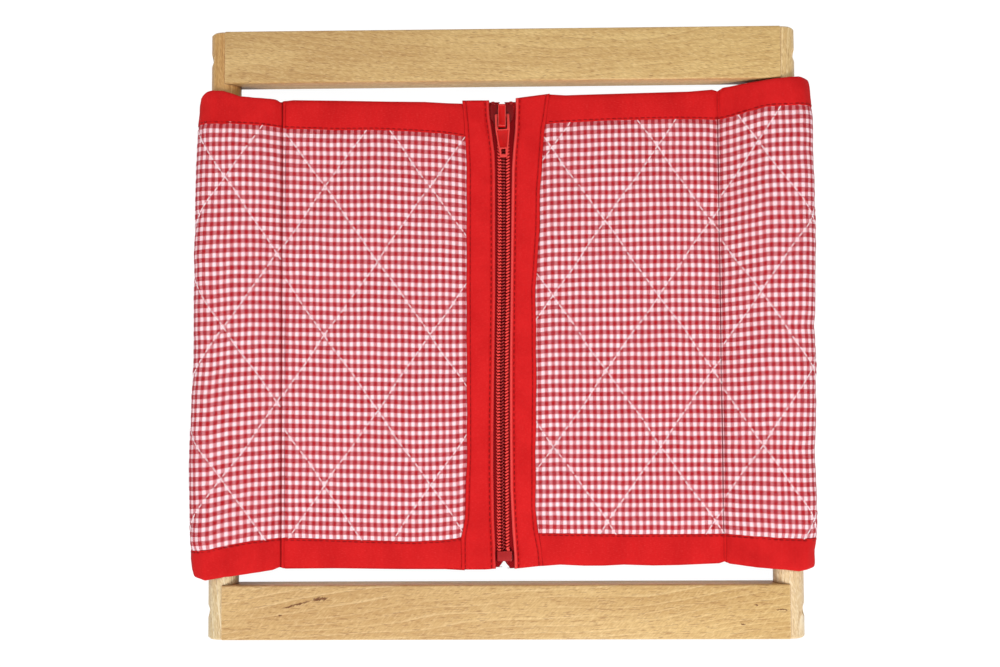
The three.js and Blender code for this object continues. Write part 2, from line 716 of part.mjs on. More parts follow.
function pullTabGeometry() {
  const half = pullThickness / 2;
  const plate = solid(extrudeZ(pullShape(0), -half, half));
  const windowHalf = crownWidth / 2 + pullClearance;
  const windowHighY = -pullBarWidth / 2;
  const windowLowY = windowHighY - pullWindowLength;
  const window = block(-windowHalf, windowHalf, windowLowY, windowHighY, -pullThickness, pullThickness);
  const holeLowY = -pullLength + pullHoleInset;
  const holeHalf = pullHoleWidth / 2;
  const hole = block(-holeHalf, holeHalf, holeLowY, holeLowY + pullHoleLength, -pullThickness, pullThickness);
  const pocket = solid(extrudeZ(pullShape(pullRimWidth), half - pullPocketDepth, pullThickness));
  const plateHighY = windowLowY - pullRimWidth;
  const plateLowY = holeLowY + pullHoleLength + pullRimWidth;
  const plateOnly = solid(block(-pullWidth, pullWidth, plateLowY, plateHighY, 0, pullThickness));
  return geometryOf(plate.subtract(solid(window)).subtract(solid(hole)).subtract(pocket.intersect(plateOnly)));
}

const dressingFrame = new THREE.Group();

// Wooden frame and its screws
const post = postGeometry();
dressingFrame.add(named('left_post', mirrored(post), wood, -dowelX, 0, clothZ));
dressingFrame.add(named('right_post', post, wood, dowelX, 0, clothZ));
dressingFrame.add(named('top_rail', railGeometry(), wood, 0, railY, railZ));
dressingFrame.add(named('bottom_rail', railGeometry(), wood, 0, -railY, railZ));
const screw = screwGeometry();
const screwX = frameWidth / 2 - screwRecessDepth;
dressingFrame.add(named('screw_top_left', mirrored(screw), steel, -screwX, railY, railZ));
dressingFrame.add(named('screw_top_right', screw, steel, screwX, railY, railZ));
dressingFrame.add(named('screw_bottom_left', mirrored(screw), steel, -screwX, -railY, railZ));
dressingFrame.add(named('screw_bottom_right', screw, steel, screwX, -railY, railZ));

// Cloth tunnels, in a group at the height of the seams
const sleeves = new THREE.Group();
sleeves.position.z = clothZ;
const sleeve = sleeveGeometry();
sleeves.add(named('left_sleeve', mirrored(sleeve), gingham));
sleeves.add(named('right_sleeve', sleeve, gingham));
for (const [end, place] of [[1, 'top'], [-1, 'bottom']]) {
  const binding = sleeveBindingGeometry(end);
  sleeves.add(named(`left_sleeve_${place}_binding`, mirrored(binding), redCotton));
  sleeves.add(named(`right_sleeve_${place}_binding`, binding, redCotton));
}
dressingFrame.add(sleeves);

// Flaps, each a group at the height of the seams
const lastToothY = boxTopY + chainClearance;
const aboveBoxY = lastToothY + toothThickness;
const abovePinY = boxTopY + pinAboveBox + chainClearance;
const rightToothY = aboveBoxY + toothPitch + toothPitch / 2;
for (const [side, name] of [[-1, 'left'], [1, 'right']]) {
  const flap = new THREE.Group();
  flap.position.z = clothZ;
  const onSide = (geometry) => (side > 0 ? geometry : mirrored(geometry));
  const quiltX = side > 0 ? rightQuiltX : leftQuiltX;
  const quiltY = side > 0 ? rightQuiltY : leftQuiltY;
  const teeth = side > 0 ? teethGeometry(abovePinY, rightToothY) : teethGeometry(lastToothY, aboveBoxY);
  const tape = side > 0 ? rightTapeGeometry() : leftTapeGeometry();
  flap.add(named(`${name}_panel`, panelGeometry(side, quiltX, quiltY), gingham));
  flap.add(named(`${name}_lining`, onSide(liningGeometry()), whiteCotton));
  flap.add(named(`${name}_top_binding`, onSide(bindingGeometry(1)), redCotton));
  flap.add(named(`${name}_bottom_binding`, onSide(bindingGeometry(-1)), redCotton));
  flap.add(named(`${name}_facing`, onSide(facingGeometry()), redCotton));
  flap.add(named(`${name}_tape`, tape, tapeRed));
  flap.add(named(`${name}_teeth`, onSide(teeth), coilRed));
  flap.add(named(`${name}_top_stop`, onSide(topStopGeometry()), boxRed));
  if (side > 0) flap.add(named('insertion_pin', insertionPinGeometry(), coilRed));
  else flap.add(named('retainer_box', retainerBoxGeometry(), boxRed));
  dressingFrame.add(flap);
}

// Slider at the top of the chain, with its pull tab hanging down
const slider = new THREE.Group();
slider.position.z = clothZ;
slider.add(named('slider_body', sliderGeometry(), enamelRed));
slider.add(named('pull_tab', pullTabGeometry(), enamelRed, 0, pullPivotY, pullZ));
dressingFrame.add(slider);

export default dressingFrame;
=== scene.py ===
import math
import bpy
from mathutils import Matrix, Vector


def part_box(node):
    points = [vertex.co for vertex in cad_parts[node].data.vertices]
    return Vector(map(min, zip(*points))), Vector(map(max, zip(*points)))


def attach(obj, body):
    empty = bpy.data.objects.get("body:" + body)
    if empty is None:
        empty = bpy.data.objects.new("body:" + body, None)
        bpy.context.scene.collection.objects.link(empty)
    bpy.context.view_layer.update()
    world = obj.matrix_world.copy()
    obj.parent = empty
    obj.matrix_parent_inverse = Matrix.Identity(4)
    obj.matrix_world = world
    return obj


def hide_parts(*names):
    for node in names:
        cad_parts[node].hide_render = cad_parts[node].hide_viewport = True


bl_info = {
    "name": "Zipper dressing frame",
    "version": (1, 0, 0),
    "blender": (4, 5, 0),
    "location": "3D View > Sidebar > Dressing frame",
    "description": "Builds a wooden frame with two quilted gingham flaps joined by a zip",
    "category": "Add Mesh",
}

import bmesh
import bpy
import numpy as np
from bpy.props import FloatProperty, FloatVectorProperty, PointerProperty
from mathutils import Matrix, Vector

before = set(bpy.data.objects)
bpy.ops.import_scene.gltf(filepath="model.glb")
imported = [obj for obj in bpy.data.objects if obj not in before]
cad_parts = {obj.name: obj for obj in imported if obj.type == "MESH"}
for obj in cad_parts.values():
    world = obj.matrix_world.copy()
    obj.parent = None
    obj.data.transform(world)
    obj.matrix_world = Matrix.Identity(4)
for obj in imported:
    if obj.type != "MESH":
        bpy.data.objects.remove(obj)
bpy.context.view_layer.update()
MM = 0.001

# The two sides, and the two ends of the cloth with the words that the pieces' names have for them
SIDES = {-1: "left", 1: "right"}
ENDS = (("top", "top"), ("low", "bottom"))

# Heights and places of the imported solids, in millimetres
CLOTH_Z = (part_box("right_tape")[0].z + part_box("right_tape")[1].z) / 2 / MM
HINGE_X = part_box("right_lining")[1].x / MM
CREST_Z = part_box("right_sleeve")[1].z / MM - CLOTH_Z
POST_X = (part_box("right_post")[0].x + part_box("right_post")[1].x) / 2 / MM
FOLD_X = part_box("right_sleeve")[1].x / MM
SLIDER_TOP_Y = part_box("slider_body")[1].y / MM
SLIDER_LOW_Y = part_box("slider_body")[0].y / MM
BOX_TOP_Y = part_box("retainer_box")[1].y / MM
BOX_LOW_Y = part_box("retainer_box")[0].y / MM
BOX_SIDE_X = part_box("retainer_box")[1].x / MM
CROWN_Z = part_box("slider_body")[1].z / MM
PULL_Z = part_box("pull_tab")[1].z / MM
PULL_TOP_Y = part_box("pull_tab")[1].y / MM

# The flaps turn about the hinge lines. The seams that show run beside them, this far outwards:
# on the left in the tunnel's cloth, on the right in the flap's.
HINGE_GAP = 0.01
SEAM_AWAY = {-1: 2.0, 1: -1.1}
SEAM_X = {side: HINGE_X + away for side, away in SEAM_AWAY.items()}

# A seam: its soft groove's depth, its slit's depth and width, places across the slit, and how high
# the cloth's front stands beside it
SEAM_DEPTH = 0.6
SLIT_DEPTH = 0.85
SLIT_WIDTH = 0.22
SLIT_STEPS = np.arange(-3, 4) * SLIT_WIDTH
EDGE_Z = 0.62

# Where the cloth's edges run, as (x, y) from left to right
TOP_EDGE = [(-158, 118.4), (-156, 120.8), (-153, 122.8), (-149, 123.3), (-143, 123), (-134, 120.5),
            (-126, 120.2), (-119, 120.3), (-116, 120.1), (-114.2, 118.9), (-112.5, 119.7),
            (-108, 120.2), (-85, 119.7), (-60, 119), (-40, 118.6), (-28, 117.8), (-20, 117.5),
            (0, 118.4), (7, 119.9), (24, 121.9), (33, 121.3), (40, 121.5), (96, 122.6), (108, 123.5),
            (110.7, 122.6), (113, 124.2), (130, 125.8), (146, 127.2), (152, 127.6), (158, 126.8)]
TOP_BINDING = [(-158, 106.2), (-140, 105.7), (-124, 105.9), (-109, 105), (-86, 104), (-65, 104),
               (-50, 103.2), (-32, 101.9), (-24, 100.8), (-18, 99.7), (0, 103), (18, 105.3),
               (25, 106.5), (40, 107.2), (60, 107.8), (85, 108.2), (100, 107.9), (110, 107.4),
               (117, 108.4), (125, 110.3), (133, 112), (148, 112.5), (158, 113)]
LOW_EDGE = [(-158, -121), (-156, -123), (-150, -124.3), (-140, -122.6), (-133, -121.9),
            (-117, -120.2), (-114, -119.1), (-111, -119.9), (-85, -119.8), (-53, -120.3),
            (-30, -120.4), (-20, -121), (0, -119.9), (13, -119.2), (20, -118.9), (28, -118.3),
            (40, -118.9), (50, -118.9), (60, -118.4), (75, -118.9), (88, -118.7), (100, -118.2),
            (108, -117.9), (110.7, -117), (113, -118), (125, -119.1), (140, -119.7), (148, -120.5),
            (158, -119.3)]
LOW_BINDING = [(-158, -110), (-147, -109), (-138, -106.6), (-128, -105.2), (-115, -104.3),
               (-100, -104.6), (-80, -105.3), (-62, -106), (-45, -106.4), (-32, -105.7),
               (-24, -104.9), (-20, -103.9), (0, -103.5), (18, -102.4), (60, -103.1),
               (110, -103.1), (158, -104.7)]

# How far out the tunnels' folds run, as (y, distance from the middle)
LEFT_FOLD = [(-124, 157.6), (-101, 159.4), (-50, 159.6), (-30, 158.7), (-19, 157.9), (-9, 157.4),
             (1, 157.5), (22, 158), (40, 158.3), (71, 157.2), (92, 157), (104, 156.8), (112, 155.5),
             (123, 156)]
RIGHT_FOLD = [(-120, 155), (-111, 155.2), (-101, 157.1), (-91, 157), (-81, 156.5), (-60, 155.7),
              (-50, 156.5), (-36, 157.7), (-19, 157.9), (-9, 157.5), (1, 156.7), (11, 157.4),
              (35, 158.4), (52, 159.3), (62, 158.8), (92, 157.9), (114, 158), (127, 156.6)]
FOLDS = {-1: LEFT_FOLD, 1: RIGHT_FOLD}

# Where the fold's wander sets in across the tunnel, and over what distance it becomes full
FOLD_START_X = 130
FOLD_BLEND = 25

# The facings' edges, as (y, distance from the zip's middle)
LEFT_FACING_OUT = [(-121, 21.9), (-118, 21.8), (-104, 21.8), (-94, 20), (-60, 18.8), (21, 18.7),
                   (72, 18.4), (83, 18.3), (93, 18.7), (100, 18.9), (108, 19.4), (119, 20.5)]
LEFT_FACING_IN = [(-121, 4.4), (-109, 4.6), (-94, 5.2), (-70, 5.4), (-47, 5.2), (-6, 4.4),
                  (21, 3.9), (62, 3.7), (83, 3.6), (93, 3.9), (102, 5), (111, 6.2), (119, 6.6)]
RIGHT_FACING_OUT = [(-119, 19.2), (-112, 18.7), (-101, 16.6), (-91, 15.8), (-60, 16), (-30, 16.6),
                    (10, 16.6), (21, 16.5), (31, 17.4), (42, 18.2), (52, 18.8), (72, 19.3),
                    (83, 20.3), (93, 21.1), (103, 21.8), (108, 22.8), (122, 25)]
RIGHT_FACING_IN = [(-121, 4.9), (-114, 4.8), (-99, 3.8), (-80, 3), (-47, 2.9), (-15, 3.1),
                   (16, 3.6), (50, 4.2), (83, 4.8), (93, 5.4), (104, 6.5), (119, 7)]
FACINGS = {(-1, "out"): LEFT_FACING_OUT, (-1, "in"): LEFT_FACING_IN,
           (1, "out"): RIGHT_FACING_OUT, (1, "in"): RIGHT_FACING_IN}

# How far the sewn chain wanders from the zip's middle, as (y, x)
CHAIN_DRIFT = [(-119, -0.5), (-99, -0.72), (-85, -0.78), (-50, -0.74), (-25, -0.64), (-4, -0.35),
               (20, 0.2), (62, 0.62), (88, 0.66), (99, 0.45), (108, 0.05), (120, 0)]

# The quilting: half a diamond's width and height, the distance from its middle to its lines, and a
# crossing on each flap and each tunnel
QUILT_WIDTH = 27
QUILT_HEIGHT = 38.2
QUILT_REACH = 22.04
QUILT_START = {-1: (-37.3, -1.8), 1: (52.3, -20.5)}
SLEEVE_QUILT_START = {-1: (-115.8, 40.7), 1: (130.8, 18.8)}

# The wadding: its swell, the limits of it on the tunnels, and how near a seam it begins to fade
FLAP_PUFF = 1.35
TUNNEL_PUFF = 0.95
TUNNEL_SWELL = (-0.25, 1.6)
PILLOW_FADE = 5

# The cloth: its lower edge and its height between the bindings, the tunnels' thickness, the pitch
# of small gathers, where the panels and the linings begin beside the zip, and how far the bindings
# stand from the seam plane at their sewn edge
CLOTH_LOW_Y = -106
CLOTH_HEIGHT = 214
TUNNEL_PLY = 1.5
GATHER_PITCH = 6.7
LINING_INNER_X = 8.5
BINDING_Z = 0.72

# The flaps' plies: how far the panel runs under the facing, and how far its back, the lining's
# front and back and the stitches there lie behind the seam plane
PANEL_TUCK = 2.5
PANEL_BACK = 0.55
LINING_FRONT = 0.95
LINING_BACK = 1.38
BACK_STITCH = 1.4

# The stitches: how high the quilting's lie and how far they keep from the bindings, and how long,
# how far apart and how far from the bindings' sewn edges the topstitching's are
STITCH_LIFT = 0.12
BINDING_MARGIN = 0.5
TOPSTITCH_LENGTH = 2.3
TOPSTITCH_SPACING = 2.9
TOPSTITCHED = ((TOP_BINDING, 0.95), (LOW_BINDING, -0.95))

# Pitches of the tape's ribs and weft and of the thread's twist, in metres
TAPE_RIB = 0.0006
TAPE_WEFT = 0.0012
THREAD_TWIST = 0.0009

# The zip: the tapes' ends, middle and far edge, the coils' pitch, how deep the slider and its tab
# are hollowed, and the angle in degrees at which the tab hangs
TAPE_TOP_Y = 118.0
TAPE_LOW_Y = {-1: -119.4, 1: -120.0}
TAPE_MID_X = 8
TAPE_EDGE_X = 13.8
COIL_PITCH = 1.6
CROWN_RECESS = 0.22
PULL_RECESS = 0.3
PULL_SKEW = 2.0

# The camera fitted to the photograph: its place in metres, its turn in degrees, its lens and sensor
CAMERA_PLACE = (0.0079, -0.0288, 0.5807)
CAMERA_TURN = (2.753, 0.982, -0.327)
CAMERA_LENS = 40.33
CAMERA_SENSOR = 36.0

# The white sweep's half width and height, and how bright the sweep and the room are
FLOOR_REACH = 6000
FLOOR_Z = -0.3
FLOOR_GLOW = 1.08
ROOM_GLOW = 0.42

# How many sides a thread or a filament has
ROD_SIDES = 6


def linear(red, green, blue):
    """A colour given in the photograph's 0 to 255 steps, as Blender's linear colour."""
    def convert(step):
        share = step / 255
        return share / 12.92 if share <= 0.04045 else ((share + 0.055) / 1.055) ** 2.4
    return (convert(red), convert(green), convert(blue), 1.0)


def along(points, places):
    """The edge's height at each place, read off a list of measured points."""
    xs, ys = zip(*points)
    return np.interp(places, xs, ys)


def ease(share):
    """A share held between 0 and 1, with a soft start and a soft end."""
    share = np.clip(share, 0, 1)
    return share * share * (3 - 2 * share)


def ripple(u, v, wavelength, seed):
    """A smooth uneven ripple from -1 to 1, the same at each run."""
    rng = np.random.default_rng(seed)
    total = 0
    for _ in range(6):
        angle = rng.uniform(0, math.pi)
        length = wavelength * rng.uniform(0.7, 1.6)
        phase = rng.uniform(0, 2 * math.pi)
        total = total + np.sin((u * math.cos(angle) + v * math.sin(angle)) * 2 * math.pi / length + phase)
    return total / 3


# Meshes


def new_object(name, verts, faces, uvs=None, smooth=True, edges=()):
    """A mesh object from points in millimetres, with a texture map that runs with the cloth."""
    mesh = bpy.data.meshes.new(name)
    mesh.from_pydata([tuple(float(c) * MM for c in v) for v in verts], list(edges), faces)
    if uvs is not None:
        layer = mesh.uv_layers.new(name="cloth")
        flat = np.asarray(uvs, float)
        corner = np.zeros(len(mesh.loops), np.int32)
        mesh.loops.foreach_get("vertex_index", corner)
        layer.data.foreach_set("uv", (flat[corner] * 0.01).astype(np.float32).ravel())
    if faces:
        work = bmesh.new()
        work.from_mesh(mesh)
        bmesh.ops.recalc_face_normals(work, faces=work.faces)
        work.to_mesh(mesh)
        work.free()
        mesh.polygons.foreach_set("use_smooth", [smooth] * len(mesh.polygons))
    mesh.update()
    piece = bpy.data.objects.new(name, mesh)
    bpy.context.scene.collection.objects.link(piece)
    return piece


def loft(name, rings, uvs):
    """A closed skin through rings of points, one after another."""
    rings = np.asarray(rings, float)
    count, size = rings.shape[:2]
    faces = []
    for i in range(count - 1):
        for k in range(size):
            after = (k + 1) % size
            faces.append((i * size + k, i * size + after, (i + 1) * size + after, (i + 1) * size + k))
    faces.append(tuple(range(size - 1, -1, -1)))
    faces.append(tuple(range((count - 1) * size, count * size)))
    return new_object(name, rings.reshape(-1, 3), faces, np.asarray(uvs, float).reshape(-1, 2))


def tube(name, outer, inner, uvs):
    """A walled tube: an outer and an inner skin through rings, joined at both ends."""
    outer, inner = np.asarray(outer, float), np.asarray(inner, float)
    count, size = outer.shape[:2]
    total = count * size
    faces = []
    for i in range(count - 1):
        for k in range(size):
            after = (k + 1) % size
            a, b, c, d = i * size + k, i * size + after, (i + 1) * size + after, (i + 1) * size + k
            faces.append((a, b, c, d))
            faces.append((total + d, total + c, total + b, total + a))
    for row, turned in ((0, True), (count - 1, False)):
        for k in range(size):
            after = (k + 1) % size
            a, b = row * size + k, row * size + after
            quad = (a, b, total + b, total + a)
            faces.append(quad[::-1] if turned else quad)
    verts = np.concatenate([outer.reshape(-1, 3), inner.reshape(-1, 3)])
    both = np.concatenate([np.asarray(uvs, float).reshape(-1, 2)] * 2)
    return new_object(name, verts, faces, both)


def rim_of(columns, rows):
    """The numbers of a grid's border points, once round from its first point."""
    wide = columns + 1
    rim = list(range(columns)) + [j * wide + columns for j in range(rows)]
    return rim + [rows * wide + i for i in range(columns, 0, -1)] + [j * wide for j in range(rows, 0, -1)]


def dressed_copy(node, name, round_edges, segments, angle, recess=None):
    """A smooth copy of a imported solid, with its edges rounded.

    A recess is (height of the face, width of its rim, depth), in millimetres.
    """
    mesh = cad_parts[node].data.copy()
    work = bmesh.new()
    work.from_mesh(mesh)
    bmesh.ops.remove_doubles(work, verts=work.verts, dist=0.00001)
    if recess:
        level, rim, depth = recess
        bmesh.ops.recalc_face_normals(work, faces=work.faces)
        tops = [face for face in work.faces
                if face.normal.z > 0.99 and abs(face.calc_center_median().z / MM - level) < 0.15]
        bmesh.ops.inset_region(work, faces=tops, thickness=rim * MM, depth=-depth * MM,
                               use_boundary=True, use_even_offset=True)
    bmesh.ops.dissolve_limit(work, angle_limit=math.radians(1), verts=work.verts, edges=work.edges)
    work.to_mesh(mesh)
    work.free()
    mesh.materials.clear()
    piece = bpy.data.objects.new(name, mesh)
    bpy.context.scene.collection.objects.link(piece)
    bevel = piece.modifiers.new("Rounded edges", "BEVEL")
    bevel.width = round_edges * MM
    bevel.segments = segments
    bevel.limit_method = "ANGLE"
    bevel.angle_limit = math.radians(angle)
    bevel.harden_normals = False
    apply_modifiers(piece)
    piece.data.polygons.foreach_set("use_smooth", [True] * len(piece.data.polygons))
    piece.data.set_sharp_from_angle(angle=math.radians(38))
    return piece


def apply_modifiers(piece):
    """Turns a piece with modifiers into a plain mesh."""
    graph = bpy.context.evaluated_depsgraph_get()
    done = bpy.data.meshes.new_from_object(piece.evaluated_get(graph))
    old = piece.data
    piece.modifiers.clear()
    piece.data = done
    done.name = piece.name
    if old.users == 0:
        bpy.data.meshes.remove(old)


def finish_piece(piece, coat, body, slot, *nodes):
    """Gives a piece its material and its body, and hides the solids it replaces; its slot is not used."""
    piece.data.materials.clear()
    piece.data.materials.append(coat)
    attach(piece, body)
    if nodes:
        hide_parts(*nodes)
    return piece


# Shader maths


class Value:
    """A node's output that takes Python arithmetic and adds the Math nodes for it."""

    def __init__(self, finish, socket):
        self.finish = finish
        self.socket = socket

    def math(self, operation, *others, flipped=False):
        values = [self, *others]
        if flipped:
            values.reverse()
        return self.finish.add("ShaderNodeMath", {"operation": operation}, dict(enumerate(values)))

    def __add__(self, other):
        return self.math("ADD", other)

    def __radd__(self, other):
        return self.math("ADD", other)

    def __sub__(self, other):
        return self.math("SUBTRACT", other)

    def __rsub__(self, other):
        return self.math("SUBTRACT", other, flipped=True)

    def __mul__(self, other):
        return self.math("MULTIPLY", other)

    def __truediv__(self, other):
        return self.math("DIVIDE", other)

    def sine(self):
        return self.math("SINE")

    def fraction(self):
        return self.math("FRACT")

    def whole(self):
        return self.math("FLOOR")

    def size(self):
        return self.math("ABSOLUTE")

    def above(self, other):
        return self.math("GREATER_THAN", other)

    def largest(self, other):
        return self.math("MAXIMUM", other)

    def spread(self, low, high, out_low=0.0, out_high=1.0):
        """Moves the value from one range to another, smoothly and held at both ends."""
        return self.finish.add(
            "ShaderNodeMapRange",
            {"interpolation_type": "SMOOTHSTEP", "clamp": True},
            {"Value": self, "From Min": low, "From Max": high, "To Min": out_low, "To Max": out_high},
        )


class Finish:
    """One material, built on its principled shader."""

    def __init__(self, name, **sockets):
        self.material = bpy.data.materials.new(name)
        self.material.use_nodes = True
        self.tree = self.material.node_tree
        self.shader = self.tree.nodes["Principled BSDF"]
        self.set(**sockets)

    def link(self, value, socket):
        if isinstance(value, Value):
            self.tree.links.new(value.socket, socket)
        else:
            socket.default_value = value

    def set(self, **sockets):
        """Sets the shader's inputs, whose names are written with underscores for spaces."""
        for name, value in sockets.items():
            self.link(value, self.shader.inputs[name.replace("_", " ")])

    def add(self, kind, settings=None, inputs=None, output=0):
        """Adds a node, sets it up, links or fills its inputs and gives one of its outputs."""
        node = self.tree.nodes.new(kind)
        for key, value in (settings or {}).items():
            setattr(node, key, value)
        for key, value in (inputs or {}).items():
            self.link(value, node.inputs[key])
        return Value(self, node.outputs[output])

    def mix(self, factor, first, second, mode="MIX"):
        """A mix of two colours."""
        settings = {"data_type": "RGBA", "blend_type": mode, "clamp_factor": True}
        return self.add("ShaderNodeMix", settings, {0: factor, 6: first, 7: second}, output=2)

    def noise(self, where, scale, detail, roughness=0.5):
        return self.add(
            "ShaderNodeTexNoise", {"noise_dimensions": "3D"},
            {"Vector": where, "Scale": scale, "Detail": detail, "Roughness": roughness})

    def mapping(self, where, scale=(1, 1, 1), move=(0, 0, 0), turn=(0, 0, 0)):
        return self.add("ShaderNodeMapping", {}, {
            "Vector": where, "Scale": scale, "Location": move, "Rotation": turn})

    def object_place(self):
        return self.add("ShaderNodeTexCoord", {}, {}, output=3)

    def cloth_place(self):
        return self.add("ShaderNodeUVMap", {"uv_map": "cloth"})

    def parts(self, where):
        node = self.tree.nodes.new("ShaderNodeSeparateXYZ")
        self.link(where, node.inputs[0])
        return [Value(self, out) for out in node.outputs]

    def joined(self, x, y, z):
        return self.add("ShaderNodeCombineXYZ", {}, {"X": x, "Y": y, "Z": z})

    def open_to_light(self, distance_mm):
        """From 0 in a groove to 1 where nothing is near."""
        reach = {"Distance": distance_mm * MM}
        return self.add("ShaderNodeAmbientOcclusion", {"samples": 8}, reach, output=1)

    def rounded_edge(self, radius_mm):
        """Above 0 where the surface turns over an edge."""
        soft = self.add("ShaderNodeBevel", {"samples": 6}, {"Radius": radius_mm * MM})
        plain = self.add("ShaderNodeNewGeometry", {}, {}, output=1)
        node = self.tree.nodes.new("ShaderNodeVectorMath")
        node.operation = "DOT_PRODUCT"
        self.link(soft, node.inputs[0])
        self.link(plain, node.inputs[1])
        return 1 - Value(self, node.outputs["Value"])

    def bump(self, height, strength, distance_mm, normal=None):
        inputs = {"Height": height, "Strength": strength, "Distance": distance_mm * MM}
        if normal is not None:
            inputs["Normal"] = normal
        return self.add("ShaderNodeBump", {}, inputs)


def rgb(settings_colour):
    """A colour of the settings, made solid."""
    return (*settings_colour, 1.0)


# Materials


def weave_height(u, v, pitch_u, pitch_v):
    """The height of a plain weave: threads that pass over and under each other."""
    across = (u / pitch_u * math.pi).sine()
    down = (v / pitch_v * math.pi).sine()
    return across.size() * 0.5 + down.size() * 0.5


def gingham_finish(settings):
    """Red and white gingham: woven stripes both ways, deep red where they cross."""
    f = Finish("Gingham cotton", Roughness=0.9, Specular_IOR_Level=0.12)
    place = f.cloth_place()
    drift = f.noise(place, 9.0, 3.0)
    drift_two = f.noise(f.mapping(place, move=(3.1, 7.7, 0)), 9.0, 3.0)
    u, v, _ = f.parts(place)
    u_mm = u * 100 + (drift - 0.5) * 0.9
    v_mm = v * 100 + (drift_two - 0.5) * 0.9
    pitch_u, pitch_v = settings.check_width / MM, settings.check_height / MM
    fine = f.noise(place, 420.0, 2.0)
    ragged = (fine - 0.5) * 0.16
    stripe_u = ((u_mm / pitch_u * 2 * math.pi).sine() + ragged).spread(-0.2, 0.12)
    stripe_v = ((v_mm / pitch_v * 2 * math.pi).sine() + ragged).spread(-0.2, 0.12)
    threads_u, threads_v = pitch_u / 8, pitch_v / 10
    cell = (u_mm / threads_u).whole() + (v_mm / threads_v).whole()
    warp_up = (cell * 0.5).fraction().spread(0.2, 0.3)
    thread = stripe_u * warp_up + stripe_v * (1 - warp_up)
    average = stripe_u * 0.44 + stripe_v * 0.56
    red = average * 0.5 + thread * 0.5
    white, pink, deep = rgb(settings.check_white), rgb(settings.check_pink), rgb(settings.check_red)
    colour = f.mix(red.spread(0.0, 0.5), white, pink)
    colour = f.mix(red.spread(0.5, 1.0), colour, deep)
    patch = f.noise(place, 4.0, 2.0)
    colour = f.mix(patch.spread(0.35, 0.75) * 0.10, colour, pink)
    slub = f.noise(f.mapping(place, scale=(260, 34, 1)), 1.0, 3.0)
    cross_slub = f.noise(f.mapping(place, scale=(34, 260, 1)), 1.0, 3.0)
    uneven = (slub * 0.5 + cross_slub * 0.5).spread(0.45, 0.65)
    colour = f.mix(uneven * 0.4 * red.spread(0.1, 0.6), colour, linear(118, 4, 14))
    faded = (1 - cross_slub * 0.5 - slub * 0.5).spread(0.48, 0.66)
    colour = f.mix(faded * 0.3 * red.spread(0.2, 0.7), colour, linear(228, 88, 92))
    colour = f.mix(uneven * 0.2, colour, linear(226, 164, 180))
    # Painted shade: deep red where grooves and neighbouring pieces shut out the light
    colour = f.mix(f.open_to_light(1.2).spread(0.25, 0.75), linear(136, 12, 22), colour)
    f.set(Base_Color=colour)
    height = weave_height(u_mm, v_mm, threads_u, threads_v)
    f.set(Normal=f.bump(height, 0.35, 0.08))
    return f.material


def plain_cotton(name, colour, dark, groove, light, fold=0.0):
    """Plain woven cotton with slightly uneven dye, a painted highlight along the fold where u is 0 if asked.
    """
    f = Finish(name, Roughness=0.85, Specular_IOR_Level=0.15)
    place = f.cloth_place()
    u, v, _ = f.parts(place)
    thread_mm = 0.3
    dye = f.noise(place, 6.0, 4.0)
    slub = f.noise(f.mapping(place, scale=(900, 60, 1)), 1.0, 2.0)
    weft = f.noise(f.mapping(place, scale=(70, 700, 1)), 1.0, 2.0)
    tone = f.mix(dye.spread(0.3, 0.8) * 0.7, colour, dark)
    tone = f.mix(slub.spread(0.5, 0.75) * 0.4, tone, dark)
    # The light colour serves the pale weft yarns and the painted highlight on the fold
    tone = f.mix(weft.spread(0.52, 0.75) * 0.3, tone, light)
    # Painted highlight: the raised fold along the inner edge catches the light, fully on the right facing,
    # less on the left
    if fold:
        lit = (u.size() * 100).spread(0.9, 1.7, 1.0, 0.0) * (u.above(0) * 0.6 + 0.4)
        tone = f.mix(lit * fold, tone, light)
    # Painted shade: the groove colour darkens the cloth where grooves and neighbouring pieces shut out the
    # light
    tone = f.mix(f.open_to_light(1.3).spread(0.35, 0.9), f.mix(0.85, tone, groove), tone)
    f.set(Base_Color=tone)
    height = weave_height(u * 100, v * 100, thread_mm, thread_mm)
    creases = f.noise(f.mapping(place, scale=(14, 10, 1)), 1.0, 3.0)
    first = f.bump(creases, 0.5, 0.5)
    f.set(Normal=f.bump(height, 0.3, 0.07, first))
    return f.material


def tape_finish():
    """The zip's tape: fine ribs that run its length, crossed by a slanting weft."""
    f = Finish("Zip tape weave", Roughness=0.85, Specular_IOR_Level=0.1)
    x, y, _ = f.parts(f.object_place())
    ribs = (x * (2 * math.pi / TAPE_RIB)).sine()
    weft = ((y - x.size()) * (2 * math.pi / TAPE_WEFT)).sine()
    mask = (ribs * 0.35 + weft * 0.65).spread(-0.8, 0.8)
    woven = f.mix(mask, linear(92, 0, 6), linear(164, 18, 24))
    folded = f.mix(mask, linear(120, 2, 8), linear(206, 30, 32))
    tone = f.mix(y.spread(0.109, 0.116), woven, folded)
    # Painted shade: darker where the facings and the chain shut the tape off from the light
    tone = f.mix(f.open_to_light(1.6).spread(0.2, 0.8), linear(84, 0, 6), tone)
    f.set(Base_Color=tone)
    f.set(Normal=f.bump(mask, 0.5, 0.12))
    return f.material


def thread_finish(name, colour, dark):
    """Sewing thread, with its twist."""
    f = Finish(name, Roughness=0.7, Specular_IOR_Level=0.2)
    x, y, z = f.parts(f.object_place())
    strand = ((x + y + z) * (2 * math.pi / THREAD_TWIST)).sine().spread(-1, 1)
    f.set(Base_Color=f.mix(strand * 0.35, colour, dark))
    f.set(Normal=f.bump(strand, 0.4, 0.05))
    return f.material


